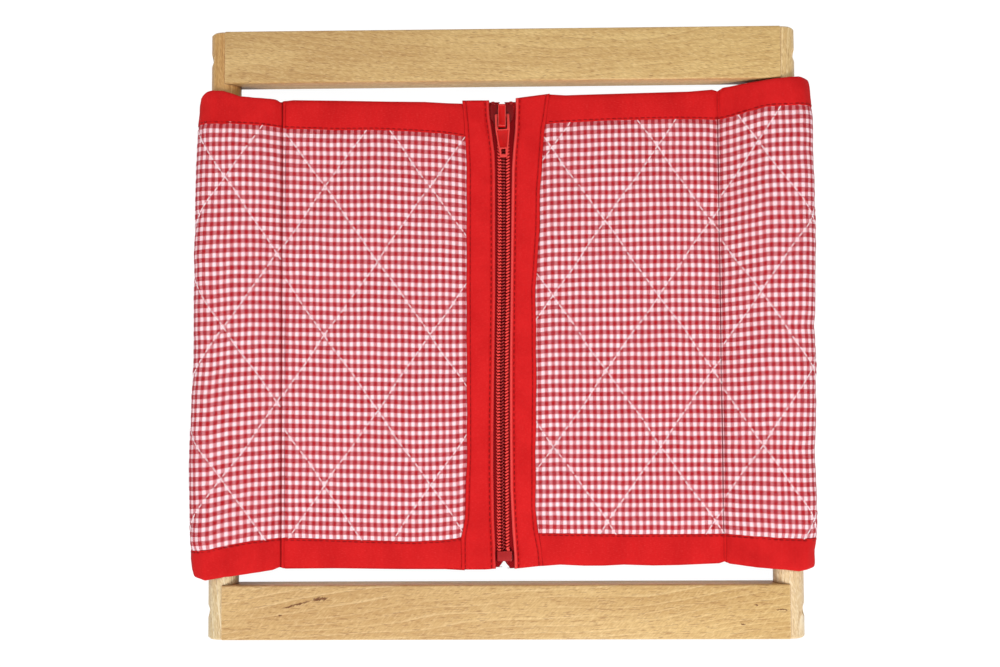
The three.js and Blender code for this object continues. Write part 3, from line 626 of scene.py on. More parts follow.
def wood_finish(name, settings, seed, lengthways, light_and_shade_tints, bow, slant, line, streaks=()):
    """Lacquered beech: fine grain, pale growth lines, slanting flecks and a few dark streaks.

    The tints paint light and shade on the wood's low and its high end. The growth lines are
    parabolas with a slope and a bow per metre, drawn in the line's colour. Each streak is its place
    along and across the grain, its half length and half width in millimetres, and its slant.
    """
    f = Finish(name, Roughness=0.5, Specular_IOR_Level=0.35)
    x, y, z = f.parts(f.object_place())
    run, side = (x, y) if lengthways == "X" else (y, x)
    moved = f.mapping(f.joined(run, side, z), move=(seed * 0.37, seed * 0.11, seed * 0.23))
    wander = f.noise(f.mapping(moved, scale=(6, 22, 22)), 1.0, 2.0)
    slope, curve = bow
    band = ((side - run * slope - run * run * curve) * 270 + z * 150 + wander * 9).fraction()
    faint = f.noise(f.mapping(moved, scale=(30, 90, 90)), 1.0, 2.0).spread(0.3, 0.6)
    lines = f.noise(f.mapping(moved, scale=(22, 1100, 1100)), 1.0, 4.0, 0.6)
    broad = f.noise(f.mapping(moved, scale=(9, 80, 80)), 1.0, 3.0)
    slanted = f.mapping(moved, turn=(0, 0, slant))
    rays = f.noise(f.mapping(slanted, scale=(420, 1500, 1500)), 1.0, 2.0)
    flecks = f.noise(f.mapping(moved, scale=(260, 2400, 2400), turn=(0, 0, 0.05)), 1.0, 1.0)
    light, dark = rgb(settings.wood_light), rgb(settings.wood_dark)
    # A deep brown for the flecks and for the painted shade in corners
    fleck_and_shade_brown, pale = linear(146, 98, 56), linear(250, 224, 172)
    tone = f.mix(broad.spread(0.3, 0.72) * 0.5, light, dark)
    tone = f.mix(band.spread(0.1, 1.0) * faint * 0.45, tone, dark)
    tone = f.mix(lines.spread(0.45, 0.7) * 0.4, tone, dark)
    tone = f.mix(rays.spread(0.5, 0.62) * 0.4, tone, dark)
    tone = f.mix((1 - rays).spread(0.54, 0.7) * 0.25, tone, pale)
    tone = f.mix(band.spread(0.0, 0.2, 1.0, 0.0) * faint * 0.4, tone, line)
    tone = f.mix(flecks.spread(0.6, 0.66) * 0.5, tone, fleck_and_shade_brown)
    # Painted light and shade: each piece lighter or darker towards its low or its high end, as the light
    # falls on it
    tone = f.mix(1.0, tone, f.mix(run.spread(-0.14, 0.14), *light_and_shade_tints), "MULTIPLY")
    for along_it, across_it, half_length, half_width, turn in streaks:
        away, aside = run - along_it * MM, side - across_it * MM
        lengthwise = (away * math.cos(turn) + aside * math.sin(turn)) / (half_length * MM)
        crosswise = (aside * math.cos(turn) - away * math.sin(turn)) / (half_width * MM)
        crosswise = crosswise + (rays - 0.5) * 3
        mark = (1 - lengthwise * lengthwise - crosswise * crosswise).spread(0.0, 0.8)
        tone = f.mix(mark * (0.45 + rays), tone, linear(112, 66, 34))
    # Painted highlight along the rounded edges
    tone = f.mix(f.rounded_edge(0.7).spread(0.01, 0.14) * 0.8, tone, linear(252, 222, 172))
    # Painted shade in corners and in the gaps where the rails meet the posts
    tone = f.mix(f.open_to_light(2.5).spread(0.35, 0.8), fleck_and_shade_brown, tone)
    f.set(Base_Color=tone)
    f.set(Roughness=lines.spread(0.2, 0.9, 0.42, 0.6))
    f.set(Normal=f.bump(flecks.spread(0.56, 0.7) * 0.6 + lines * 0.4, 0.18, -0.15))
    return f.material


def dull_enamel_finish():
    """Dull enamel of the box and the stops: a little uneven, with painted shade and painted edge highlights.
    """
    f = Finish("Dull red enamel", Roughness=0.5, Specular_IOR_Level=0.2)
    place = f.object_place()
    # The dark colour serves the uneven enamel and the painted shade
    dark = linear(90, 0, 6)
    cloud = f.noise(place, 260.0, 3.0)
    tone = f.mix(cloud.spread(0.35, 0.8) * 0.2, linear(172, 26, 28), dark)
    # Painted shade where grooves and neighbouring pieces shut out the light
    tone = f.mix(f.open_to_light(1.6).spread(0.35, 0.9), dark, tone)
    # Painted highlight along the rounded edges
    tone = f.mix(f.rounded_edge(0.3).spread(0.03, 0.28) * 0.75, tone, linear(240, 128, 122))
    f.set(Base_Color=tone, Roughness=cloud.spread(0.2, 0.9, 0.5, 0.66))
    f.set(Normal=f.bump(f.noise(place, 900.0, 2.0), 0.15, 0.06))
    return f.material


def coil_finish(name, bright, dark):
    """The coil's plastic filament: painted light on its backs, nearly black-red painted shade in grooves."""
    f = Finish(name, Roughness=0.45, Specular_IOR_Level=0.16)
    cloud = f.noise(f.object_place(), 700.0, 2.0)
    # Painted light and shade: the bright colour where the filament is open, the dark one in the grooves
    tone = f.mix(f.open_to_light(0.7).spread(0.3, 0.85), dark, bright)
    f.set(Base_Color=f.mix(cloud.spread(0.4, 0.8) * 0.2, tone, dark))
    f.set(Normal=f.bump(cloud, 0.1, 0.04))
    return f.material


def steel_finish():
    """A zinc-plated screw, brushed round by its making."""
    f = Finish("Zinc plated steel", Metallic=1.0, Roughness=0.35)
    place = f.object_place()
    lathe = f.noise(f.mapping(place, scale=(300, 3000, 3000)), 1.0, 2.0)
    f.set(Base_Color=f.mix(lathe, linear(168, 168, 164), linear(214, 214, 210)))
    f.set(Roughness=lathe.spread(0.2, 0.8, 0.28, 0.5))
    f.set(Normal=f.bump(lathe, 0.15, 0.04))
    return f.material


def floor_finish(settings):
    """A white sweep that stays white to the camera and keeps a faint shadow."""
    f = Finish("White sweep", Roughness=1.0)
    f.set(Base_Color=(0.86, 0.86, 0.86, 1.0), Specular_IOR_Level=0.0)
    light = f.tree.nodes.new("ShaderNodeLightPath")
    seen = Value(f, light.outputs["Is Camera Ray"])
    seen = seen.largest(Value(f, light.outputs["Is Glossy Ray"]))
    seen = seen.largest(Value(f, light.outputs["Is Transmission Ray"]))
    glow = f.tree.nodes.new("ShaderNodeEmission")
    glow.inputs["Color"].default_value = (1.0, 1.0, 1.0, 1.0)
    glow.inputs["Strength"].default_value = FLOOR_GLOW
    blend = f.tree.nodes.new("ShaderNodeMixShader")
    f.link(seen * settings.sweep_glow, blend.inputs[0])
    f.tree.links.new(f.shader.outputs[0], blend.inputs[1])
    f.tree.links.new(glow.outputs[0], blend.inputs[2])
    f.tree.links.new(blend.outputs[0], f.tree.nodes["Material Output"].inputs["Surface"])
    return f.material


MATERIALS = {}


def material(name, maker):
    """A material by name, made once."""
    if name not in MATERIALS:
        MATERIALS[name] = maker()
    return MATERIALS[name]


def gingham(context):
    return material("gingham", lambda: gingham_finish(context.scene.dressing_frame))


def red_cotton():
    # The fourth colour is the painted shade in grooves
    return material("red", lambda: plain_cotton(
        "Red cotton", linear(213, 27, 29), linear(184, 12, 16), linear(96, 0, 4), linear(236, 76, 70)))


def facing_cotton():
    # The fourth colour is the painted shade in grooves; the fifth is pale yarn and, at 0.75, the fold's
    # painted highlight
    return material("facing", lambda: plain_cotton(
        "Red facing cotton", linear(215, 27, 29), linear(192, 13, 17), linear(96, 0, 4),
        linear(244, 84, 80), 0.75))


def white_cotton():
    # The fourth colour is the painted shade in grooves
    return material("white", lambda: plain_cotton(
        "White cotton lining", linear(240, 236, 230), linear(222, 216, 208), linear(160, 150, 140),
        linear(250, 248, 244)))


def red_thread():
    return material("red thread", lambda: thread_finish(
        "Dark red thread", linear(152, 2, 8), linear(110, 0, 4)))


def white_thread():
    return material("white thread", lambda: thread_finish(
        "White quilting thread", linear(255, 240, 244), linear(236, 204, 212)))


def raised_enamel(name, top_z, recess, shade_from, shade_to):
    """Red enamel with a painted highlight on a raised rim and painted shade from one height down to another.
    """
    f = Finish(name, Roughness=0.42, Specular_IOR_Level=0.15)
    place = f.object_place()
    height = f.parts(place)[2]
    # Painted highlight on the raised rim round the recess
    rim = height.spread((top_z - recess * 0.75) * MM, (top_z - recess * 0.3) * MM)
    # Painted shade: deep red below one height, lit above another
    lit = height.spread(shade_to * MM, shade_from * MM)
    cloud = f.noise(place, 260.0, 3.0).spread(0.35, 0.8)
    tone = f.mix(lit, linear(122, 0, 4), linear(202, 10, 8))
    tone = f.mix(cloud * 0.3, tone, linear(120, 0, 2))
    tone = f.mix(rim * 0.7, tone, linear(238, 76, 70))
    # Painted shade where grooves and neighbouring pieces shut out the light
    tone = f.mix(f.open_to_light(2.2).spread(0.4, 0.95), linear(58, 0, 2), tone)
    # Painted highlight on the rounded edges, paler where the part is lit
    edge_highlight = f.mix(lit, linear(190, 60, 60), linear(255, 136, 130))
    tone = f.mix(f.rounded_edge(0.35).spread(0.03, 0.28) * 0.6, tone, edge_highlight)
    f.set(Base_Color=tone)
    f.set(Normal=f.bump(f.noise(place, 900.0, 2.0), 0.15, 0.06))
    return f.material


def tape_cloth():
    return material("tape", tape_finish)


def coil_plastic():
    return material("coil", lambda: coil_finish(
        "Coil filament", linear(250, 78, 72), linear(206, 20, 24)))


def shaded_coil():
    return material("deep coil", lambda: coil_finish(
        "Coil in its shade", linear(150, 0, 4), linear(108, 0, 2)))


def shaded_coil_heads():
    # A darker copy of the coil's colours: painted shade on the heads between the rows
    return material("coil heads", lambda: coil_finish(
        "Heads of the coil", linear(196, 62, 62), linear(124, 0, 2)))


def body_enamel():
    return material("body enamel", lambda: raised_enamel(
        "Red enamel of the body", CROWN_Z, CROWN_RECESS, CROWN_Z - 1.2, CROWN_Z - 2.6))


def pull_enamel():
    return material("pull enamel", lambda: raised_enamel(
        "Red enamel of the pull", PULL_Z, PULL_RECESS, PULL_Z - 0.6, PULL_Z - 1.2))


def dull_enamel():
    return material("dull enamel", dull_enamel_finish)


# Cloth shapes


def quilt_lines(u, y, start):
    """Distance from the nearest quilting line of each slant, in millimetres, and places along them."""
    start_u, start_y = start
    across, up = (u - start_u) / QUILT_WIDTH, (y - start_y) / QUILT_HEIGHT
    slant = math.hypot(QUILT_WIDTH, QUILT_HEIGHT)
    reach = QUILT_WIDTH * QUILT_HEIGHT / slant
    found = []
    for sign in (1, -1):
        phase = (across + sign * up) / 2
        nearest = np.abs(phase - np.round(phase)) * 2 * reach
        place = (u * QUILT_WIDTH - sign * y * QUILT_HEIGHT) / slant
        found.append((nearest, place, np.round(phase)))
    return found


def quilt_height(u, y, side, puff, start):
    """How far the quilted cloth stands out at a place."""
    lines = quilt_lines(u, y, start)
    first, second = lines[0][0] / QUILT_REACH, lines[1][0] / QUILT_REACH
    body = puff * np.power(np.clip(np.sin(first * math.pi / 2) * np.sin(second * math.pi / 2), 0, 1), 0.42)
    for number, (distance, place, line) in enumerate(lines):
        ruck = np.sin(place * 2 * math.pi / 5.3 + line * 2.4)
        ruck = ruck + 0.6 * np.sin(place * 2 * math.pi / 3.1 + line * 4.1)
        body = body + 0.13 * ruck * np.exp(-np.square((distance - 2.2) / 2.6)) * (0.6 + 0.4 * number)
        body = body - 0.12 * np.exp(-np.square(distance / 0.7))
    body = body + 0.22 * ripple(u, y, 34, 11 + side) + 0.07 * ripple(u, y, 9, 21 + side)
    return body


def pillow_fade(distance):
    """How much of the wadding's swell there is at a distance from a seam or an edge."""
    return np.sqrt(np.clip(distance / PILLOW_FADE, 0, 1))


def edge_gather(u, from_edge, seed):
    """Small folds where the cloth is caught in a binding."""
    wave = np.sin(u * 2 * math.pi / GATHER_PITCH + 2.2 * np.sin(u * 2 * math.pi / 41 + seed))
    return 0.16 * wave * np.exp(-np.maximum(from_edge, 0) / 5)


def seam_groove(away):
    """How far the cloth is drawn in at a distance from a seam: a soft groove with a slit in it."""
    return SEAM_DEPTH * np.exp(-away / 0.7) + SLIT_DEPTH * np.exp(-np.square(away / SLIT_WIDTH))


def panel_front(x, y, side):
    """The flap's front surface above the seam plane, in millimetres."""
    signed = side * np.abs(x)
    top, low = along(TOP_BINDING, signed), along(LOW_BINDING, signed)
    to_end = np.minimum(top - y, y - low)
    to_seam = np.minimum(np.abs(SEAM_X[side] - np.abs(x)), (HINGE_X - np.abs(x)) * 3 + 0.1)
    to_facing = np.abs(x) - facing_edge(side, y, "out")
    nearest = np.clip(np.minimum(np.minimum(to_end, to_seam), to_facing), 0, None)
    height = quilt_height(signed, y, side, FLAP_PUFF, QUILT_START[side]) * pillow_fade(nearest)
    height = height + edge_gather(signed, to_end, side) * np.clip(nearest / 1.5, 0, 1)
    groove = seam_groove(np.abs(SEAM_X[side] - np.abs(x)))
    return EDGE_Z + np.clip(height, -0.2, 1.9) - groove


def seam_places():
    """Places across a flap's last 3 mm, close together where the right seam's slit is."""
    places = [HINGE_X - away for away in (3.2, 2.7, 2.3, 1.9, 0.4, 0.03, 0.0)]
    return sorted([*places, *(SEAM_X[1] + SLIT_STEPS)])


def near_seam(arc, whole, side):
    """Distance round the tunnel from its seam, its hinge line and its back edge, the least of them."""
    lead = SEAM_X[side] - HINGE_X
    return np.minimum(np.abs(arc - lead), np.minimum(arc * 3 + 0.1, whole - arc))


def sleeve_section(count, side):
    """The tunnel's section from the front of the seam round to its back: points, normals, arc."""
    edge_x, start_x, flat_x = HINGE_X + HINGE_GAP, POST_X - 5.5, POST_X + 5.5
    reach = FOLD_X - flat_x
    points = []
    for t in np.linspace(0, 1, 60, endpoint=False):
        middle = ((edge_x + start_x) / 2, (0.9 + CREST_Z) / 2 + 0.8)
        x = (1 - t) ** 2 * edge_x + 2 * t * (1 - t) * middle[0] + t * t * start_x
        z = (1 - t) ** 2 * EDGE_Z + 2 * t * (1 - t) * middle[1] + t * t * CREST_Z
        points.append((x, z))
    for t in np.linspace(0, 1, 20, endpoint=False):
        points.append((start_x + (flat_x - start_x) * t, CREST_Z))
    for angle in np.linspace(math.pi / 2, 0, 40, endpoint=False):
        points.append((flat_x + reach * math.cos(angle), CREST_Z * math.sin(angle)))
    points.append((FOLD_X, 0))
    front = np.array(points)
    whole = np.concatenate([front, front[-2::-1] * (1, -1)])
    arc = np.concatenate([[0], np.cumsum(np.linalg.norm(np.diff(whole, axis=0), axis=1))])
    lead = SEAM_X[side] - HINGE_X
    near = [0, 0.03, 0.4, 0.8, 1.1, *(SEAM_AWAY[-1] + SLIT_STEPS), 3.0, 3.4, 3.8]
    even = np.concatenate([near, np.linspace(4.2, arc[-1], count - len(near))])
    section = np.stack([np.interp(even, arc, whole[:, 0]), np.interp(even, arc, whole[:, 1])], 1)
    tangent = np.gradient(section, axis=0)
    tangent /= np.linalg.norm(tangent, axis=1)[:, None]
    normal = np.stack([-tangent[:, 1], tangent[:, 0]], 1)
    section[:, 1] -= seam_groove(np.abs(even - lead))
    section[:, 1] += 0.5 * np.exp(-(even[-1] - even) / 0.7)
    return section, normal, even


def folded_x(side, x, y):
    """A place across the tunnel, moved with the uneven fold on the post's outer side."""
    return x + (along(FOLDS[side], y) - FOLD_X) * ease((x - FOLD_START_X) / FOLD_BLEND)


def sleeve_rings(side, stations, puff):
    """Rings of the tunnel. A station is (cloth, top or low; share of the way across; lift; inset)."""
    section, normal, arc = sleeve_section(128, side)
    u = HINGE_X + arc
    signed = side * section[:, 0]
    top, low = along(TOP_BINDING, signed), along(LOW_BINDING, signed)
    top_edge, low_edge = along(TOP_EDGE, signed), along(LOW_EDGE, signed)
    from_seam = near_seam(arc, arc[-1], side)
    at_front = arc * 2 < arc[-1]
    outer, inner, uvs = [], [], []
    for where, share, lift, inset in stations:
        if where == "cloth":
            y = low + (top - low) * share
        elif where == "top":
            y = top + (top_edge - top) * share
        else:
            y = low + (low_edge - low) * share
        base_x = folded_x(side, section[:, 0], y)
        grown = quilt_height(side * u, y, side, puff, SLEEVE_QUILT_START[side])
        grown = grown * pillow_fade(from_seam)
        if where == "cloth":
            edge = np.minimum(top - y, y - low)
            grown = grown * pillow_fade(edge) + edge_gather(side * u, edge, side)
        else:
            grown = 0.16 * ripple(side * u, y, 15, 5 + side) + 0.05 * ripple(side * u, y, 5, 8)
            grown = grown + 0.12 * np.sin(side * u * 2 * math.pi / GATHER_PITCH + side)
            grown = grown * np.clip(from_seam / 4, 0, 1)
        swell = np.clip(grown, *TUNNEL_SWELL) + lift
        x_out = base_x + normal[:, 0] * swell
        z_out = section[:, 1] + normal[:, 1] * swell
        z_out = np.maximum(z_out, -CLOTH_Z)
        x_out = np.maximum(x_out, section[0, 0])
        x_out[[0, -1]] = section[0, 0]
        depth = TUNNEL_PLY + inset
        x_in = np.maximum(base_x - normal[:, 0] * depth, section[0, 0] + 0.85)
        z_in = section[:, 1] - normal[:, 1] * depth
        z_in = np.where(at_front, np.maximum(z_in, 0.04), np.minimum(z_in, -0.04))
        outer.append(np.stack([side * x_out, y, z_out + CLOTH_Z], 1))
        inner.append(np.stack([side * x_in, y, z_in + CLOTH_Z], 1))
        v = np.where(where == "cloth", (share - 0.5) * CLOTH_HEIGHT, y)
        uvs.append(np.stack([side * u, np.broadcast_to(v, u.shape)], 1))
    return outer, inner, uvs


def binding_section(inner_y, outer_y):
    """The folded binding's section, from its sewn edge round its fold and back, as (y, z) pairs."""
    shares = [0.0, 0.01, 0.03, 0.06, 0.09, 0.14, 0.22, 0.32, 0.44, 0.56, 0.68, 0.8, 0.88, 0.94, 0.98]
    heights = [0.0, 0.32, 0.44, 0.36, 0.44, 0.56, 0.66, 0.72, 0.76, 0.76, 0.72, 0.62, 0.44, 0.1, -0.3]
    width = outer_y - inner_y
    front = [(inner_y + width * s, BINDING_Z + h) for s, h in zip(shares, heights)]
    back = [(inner_y + width * s, -BINDING_Z - h * 0.9) for s, h in zip(shares[::-1], heights[::-1])]
    return front + [(outer_y, 0.15), (outer_y, -0.15)] + back


def facing_edge(side, y, which):
    """A facing's outer or inner edge, as its distance from the zip's middle."""
    return along(FACINGS[side, which], y)


def facing_top(side, x):
    """The facing's upper end: level on the left, rising outwards on the right."""
    return 118.9 if side < 0 else 119.9 + 0.12 * (x - 7)


def facing_low(side, x):
    """The facing's lower end: lifted beside the zip on the left, rising outwards on the right."""
    return -120.5 + 0.09 * max(0, 9 - x) if side < 0 else -120.2 + 0.11 * (x - 5)


def chain_drift(y):
    """How far the chain stands to the right at a height."""
    return along(CHAIN_DRIFT, y)


def facing_crease(side, x, y):
    """One long crease low on the left facing, and a short one on the right."""
    if side < 0:
        away = (x - 12.2) * 0.75 - (y + 103.5) * 0.66
        along_it = (x - 12.2) * 0.66 + (y + 103.5) * 0.75
        return 0.28 * math.exp(-(away / 0.5) ** 2) * math.exp(-(along_it / 9) ** 4)
    away = (x - 12) * 0.3 + (y - 112) * 0.95
    return 0.14 * math.exp(-(away / 0.8) ** 2) * math.exp(-((x - 12) / 4) ** 2)


def row_aside(y):
    """How far a row of the chain stands aside as it goes round the slider's wedge."""
    return 2.1 * ease((y - (SLIDER_LOW_Y + 4.2)) / 8.4)


def swept_path(name, lines):
    """A mesh of edges alone, one chain of edges for each line of points."""
    verts, edges = [], []
    for line in lines:
        first = len(verts)
        verts.extend(line)
        edges.extend((first + i, first + i + 1) for i in range(len(line) - 1))
    return new_object(name, verts, [], edges=edges)


def repeat_tree():
    """Geometry nodes that set a piece at even steps along a path."""
    name = "Repeat along a path"
    if name in bpy.data.node_groups:
        return bpy.data.node_groups[name]
    tree = bpy.data.node_groups.new(name, "GeometryNodeTree")
    for label, kind in (("Path", "Geometry"), ("Piece", "Object"), ("Spacing", "Float"),
                        ("Unevenness", "Float"), ("Seed", "Int"), ("Finish", "Material")):
        tree.interface.new_socket(label, in_out="INPUT", socket_type=f"NodeSocket{kind}")
    tree.interface.new_socket("Result", in_out="OUTPUT", socket_type="NodeSocketGeometry")
    kinds = {"start": "NodeGroupInput", "end": "NodeGroupOutput", "curve": "GeometryNodeMeshToCurve",
             "steps": "GeometryNodeResampleCurve", "way": "GeometryNodeInputTangent",
             "aim": "FunctionNodeAlignRotationToVector", "level": "FunctionNodeAlignRotationToVector",
             "chance": "FunctionNodeRandomValue", "lowest": "ShaderNodeMath",
             "highest": "ShaderNodeMath", "info": "GeometryNodeObjectInfo",
             "put": "GeometryNodeInstanceOnPoints", "real": "GeometryNodeRealizeInstances",
             "coat": "GeometryNodeSetMaterial"}
    nodes = {key: tree.nodes.new(kind) for key, kind in kinds.items()}
    nodes["steps"].mode = "LENGTH"
    nodes["aim"].axis = "X"
    nodes["level"].axis = "Z"
    nodes["level"].pivot_axis = "X"
    nodes["level"].inputs["Vector"].default_value = (0, 0, 1)
    nodes["chance"].data_type = "FLOAT"
    for key, operation in (("lowest", "SUBTRACT"), ("highest", "ADD")):
        nodes[key].operation = operation
        nodes[key].inputs[0].default_value = 1.0
    for giver, output, taker, socket in (
            ("start", "Path", "curve", "Mesh"), ("curve", "Curve", "steps", "Curve"),
            ("start", "Spacing", "steps", "Length"), ("way", 0, "aim", "Vector"),
            ("aim", "Rotation", "level", "Rotation"), ("start", "Unevenness", "lowest", 1),
            ("start", "Unevenness", "highest", 1), ("lowest", 0, "chance", 2),
            ("highest", 0, "chance", 3), ("start", "Seed", "chance", "Seed"),
            ("start", "Piece", "info", "Object"), ("steps", "Curve", "put", "Points"),
            ("info", "Geometry", "put", "Instance"), ("level", "Rotation", "put", "Rotation"),
            ("chance", 1, "put", "Scale"), ("put", "Instances", "real", "Geometry"),
            ("real", "Geometry", "coat", "Geometry"), ("start", "Finish", "coat", "Material"),
            ("coat", "Geometry", "end", "Result")):
        tree.links.new(nodes[giver].outputs[output], nodes[taker].inputs[socket])
    return tree


def repeated(name, lines, piece, spacing, unevenness, seed, finish, body, slot, *nodes):
    """One plain mesh of a small piece set along lines of points in millimetres."""
    path = swept_path(name, lines)
    tree = repeat_tree()
    modifier = path.modifiers.new("Repeat", "NODES")
    modifier.node_group = tree
    keys = {item.name: item.identifier for item in tree.interface.items_tree
            if item.item_type == "SOCKET" and item.in_out == "INPUT"}
    modifier[keys["Piece"]] = piece
    modifier[keys["Spacing"]] = spacing * MM
    modifier[keys["Unevenness"]] = unevenness
    modifier[keys["Seed"]] = seed
    modifier[keys["Finish"]] = finish
    apply_modifiers(path)
    path.data.polygons.foreach_set("use_smooth", [True] * len(path.data.polygons))
    return finish_piece(path, finish, body, slot, *nodes)


def round_angles(sides):
    """Even angles once round a circle."""
    return np.linspace(0, 2 * math.pi, sides, endpoint=False)


def capsule(name, length, radius, sag):
    """A short thread end to end: thin at its ends, where it dives into the cloth."""
    rings, uvs = [], []
    for share, part in ((0.0, 0.35), (0.1, 0.8), (0.3, 1.0), (0.7, 1.0), (0.9, 0.8), (1.0, 0.35)):
        thick = radius * part
        drop = -sag * (2 * share - 1) ** 4
        rings.append([((share - 0.5) * length, thick * math.cos(a), thick * math.sin(a) + drop)
                      for a in round_angles(ROD_SIDES)])
        uvs.append([(share * length, k) for k in range(ROD_SIDES)])
    return loft(name, rings, uvs)


def bent_rod(name, spine, radii):
    """A round rod with rounded ends, bent through a few points."""
    spine, size = np.asarray(spine, float), len(spine)
    rings, uvs = [], []
    for i in range(size):
        way = spine[min(i + 1, size - 1)] - spine[max(i - 1, 0)]
        way /= np.linalg.norm(way)
        side = np.cross(way, (0, 0, 1))
        side /= np.linalg.norm(side)
        up = np.cross(side, way)
        rings.append([spine[i] + radii[i] * (math.cos(a) * side + math.sin(a) * up)
                      for a in round_angles(ROD_SIDES)])
        uvs.append([(i, k) for k in range(ROD_SIDES)])
    return loft(name, rings, uvs)


def coil_bead(name, side):
    """The part of a turn that shows outside: a wave on the left, a slant that rises outwards on the right."""
    if side < 0:
        spine = [(0.62, -0.9, -0.2), (0.44, -0.72, 0.05), (-0.34, -0.16, 0.2),
                 (0.3, 0.46, 0.22), (0.02, 0.78, 0.1), (-0.45, 0.92, -0.15)]
        radii = [0.2, 0.38, 0.46, 0.46, 0.36, 0.2]
    else:
        spine = [(0.52, -0.86, -0.3), (0.46, -0.66, 0.02), (0.2, -0.28, 0.22),
                 (-0.2, 0.28, 0.24), (-0.44, 0.64, 0.06), (-0.5, 0.8, -0.2)]
        radii = [0.24, 0.44, 0.5, 0.5, 0.42, 0.24]
    spine = [(up * side, across, height) for up, across, height in spine]
    return bent_rod(name, spine, radii)


def coil_leg(name):
    """The part of a turn that dives from its bead to its head."""
    spine = [(0.1, -1.0, 0.0), (0.05, -0.4, 0.05), (-0.05, 0.3, 0.1), (-0.1, 0.8, 0.1)]
    return bent_rod(name, spine, [0.24, 0.27, 0.27, 0.24])


def coil_head(name):
    """A turn's head: a short bead beside the middle, between its neighbours of the other row."""
    spine = [(0.36, -0.26, -0.18), (0.24, -0.17, 0.04), (-0.24, 0.17, 0.04), (-0.36, 0.26, -0.18)]
    return bent_rod(name, spine, [0.16, 0.29, 0.29, 0.16])


def fibre(name):
    """A frayed end of yarn."""
    rings, uvs = [], []
    for share, thick in ((0.0, 0.12), (0.35, 0.11), (0.7, 0.08), (1.0, 0.03)):
        bend = 0.35 * share * share
        rings.append([(bend + thick * math.cos(a), thick * math.sin(a), -0.2 + share * 0.5)
                      for a in round_angles(5)])
        uvs.append([(share, k) for k in range(5)])
    return loft(name, rings, uvs)


def drop_object(piece):
    """Takes away a small piece that was only there to be repeated."""
    bpy.data.objects.remove(piece, do_unlink=True)


# Settings and operators


def length_setting(name, description, default, longest):
    """A length in metres that a user would change."""
    return FloatProperty(name=name, description=description, default=default, min=0.001,
                         max=longest, precision=5, unit="LENGTH", subtype="DISTANCE")


def colour_setting(name, description, *steps):
    """A colour that a user would change, given in the photograph's 0 to 255 steps."""
    return FloatVectorProperty(name=name, description=description, subtype="COLOR", size=3,
                               default=linear(*steps)[:3])


class DressingFrameSettings(bpy.types.PropertyGroup):
    """Sizes and colours that a user would change"""

    check_width: length_setting(
        "Check width", "Width of one red and one white stripe together", 0.00348, 0.02)
    check_height: length_setting(
        "Check height", "Height of one red and one white stripe together", 0.00455, 0.02)
    check_red: colour_setting("Check red", "Colour where two red stripes cross", 170, 6, 18)
    check_pink: colour_setting(
        "Check pink", "Colour where a red and a white stripe cross", 204, 62, 72)
    check_white: colour_setting(
        "Check white", "Colour where two white stripes cross", 250, 224, 230)
    wood_light: colour_setting("Light wood", "The beech between its growth lines", 224, 190, 130)
    wood_dark: colour_setting("Dark wood", "The beech's growth lines", 192, 150, 92)
    stitch_spacing: length_setting(
        "Stitch spacing", "From one quilting stitch to the next", 0.0033, 0.008)
    sweep_glow: FloatProperty(
        name="Sweep glow", description="How much of the floor's brightness is its own",
        default=0.9, min=0.0, max=1.0, subtype="FACTOR")


class DRESSING_OT_stage(bpy.types.Operator):
    """Adds the white sweep, the lamps and the camera"""

    bl_idname = "dressing.stage"
    bl_label = "Stage"

    def sweep(self, scene):
        """The white sweep that the object lies on."""
        corners = [(x * FLOOR_REACH, y * FLOOR_REACH, FLOOR_Z)
                   for x, y in ((-1, -1), (1, -1), (1, 1), (-1, 1))]
        floor = new_object("Floor", corners, [(0, 1, 2, 3)], smooth=False)
        floor.data.materials.append(floor_finish(scene.dressing_frame))

    def room(self, scene):
        """Soft light from all round, and a plain ground where the camera sees past the floor."""
        world = bpy.data.worlds.new("Soft room")
        scene.world = world
        world.use_nodes = True
        nodes, links = world.node_tree.nodes, world.node_tree.links
        back = nodes["Background"]
        back.inputs["Color"].default_value = (1.0, 1.0, 1.0, 1.0)
        back.inputs["Strength"].default_value = ROOM_GLOW
        seen = nodes.new("ShaderNodeBackground")
        seen.inputs["Strength"].default_value = 1.0
        path = nodes.new("ShaderNodeLightPath")
        blend = nodes.new("ShaderNodeMixShader")
        links.new(path.outputs["Is Camera Ray"], blend.inputs[0])
        links.new(back.outputs[0], blend.inputs[1])
        links.new(seen.outputs[0], blend.inputs[2])
        links.new(blend.outputs[0], nodes["World Output"].inputs["Surface"])

    def lamps(self, scene):
        """Round lamps that face the object: name, place in metres, width and power."""
        for name, place, width, power in (
                ("Key lamp", (0.25, -1.05, 1.15), 0.5, 15.0),
                ("Fill lamp", (-0.9, 0.35, 1.3), 1.2, 4.0),
                ("Top lamp", (0.1, 0.2, 1.8), 0.8, 5.0)):
            lamp = bpy.data.lights.new(name, "AREA")
            lamp.shape = "DISK"
            lamp.size = width
            lamp.energy = power
            holder = bpy.data.objects.new(name, lamp)
            holder.location = place
            holder.rotation_euler = (-Vector(place)).to_track_quat("-Z", "Y").to_euler()
            scene.collection.objects.link(holder)

    def camera(self, scene):
        """The camera that sees the object as the photograph does."""
        camera = bpy.data.cameras.new("Camera")
        camera.lens = CAMERA_LENS
        camera.sensor_width = CAMERA_SENSOR
        camera.clip_start = 0.01
        holder = bpy.data.objects.new("Camera", camera)
        holder.location = CAMERA_PLACE
        holder.rotation_euler = tuple(math.radians(angle) for angle in CAMERA_TURN)
        scene.collection.objects.link(holder)
        scene.camera = holder

    def execute(self, context):
        scene = context.scene
        self.sweep(scene)
        self.room(scene)
        self.lamps(scene)
        self.camera(scene)
        scene.view_settings.view_transform = "Standard"
        return {"FINISHED"}


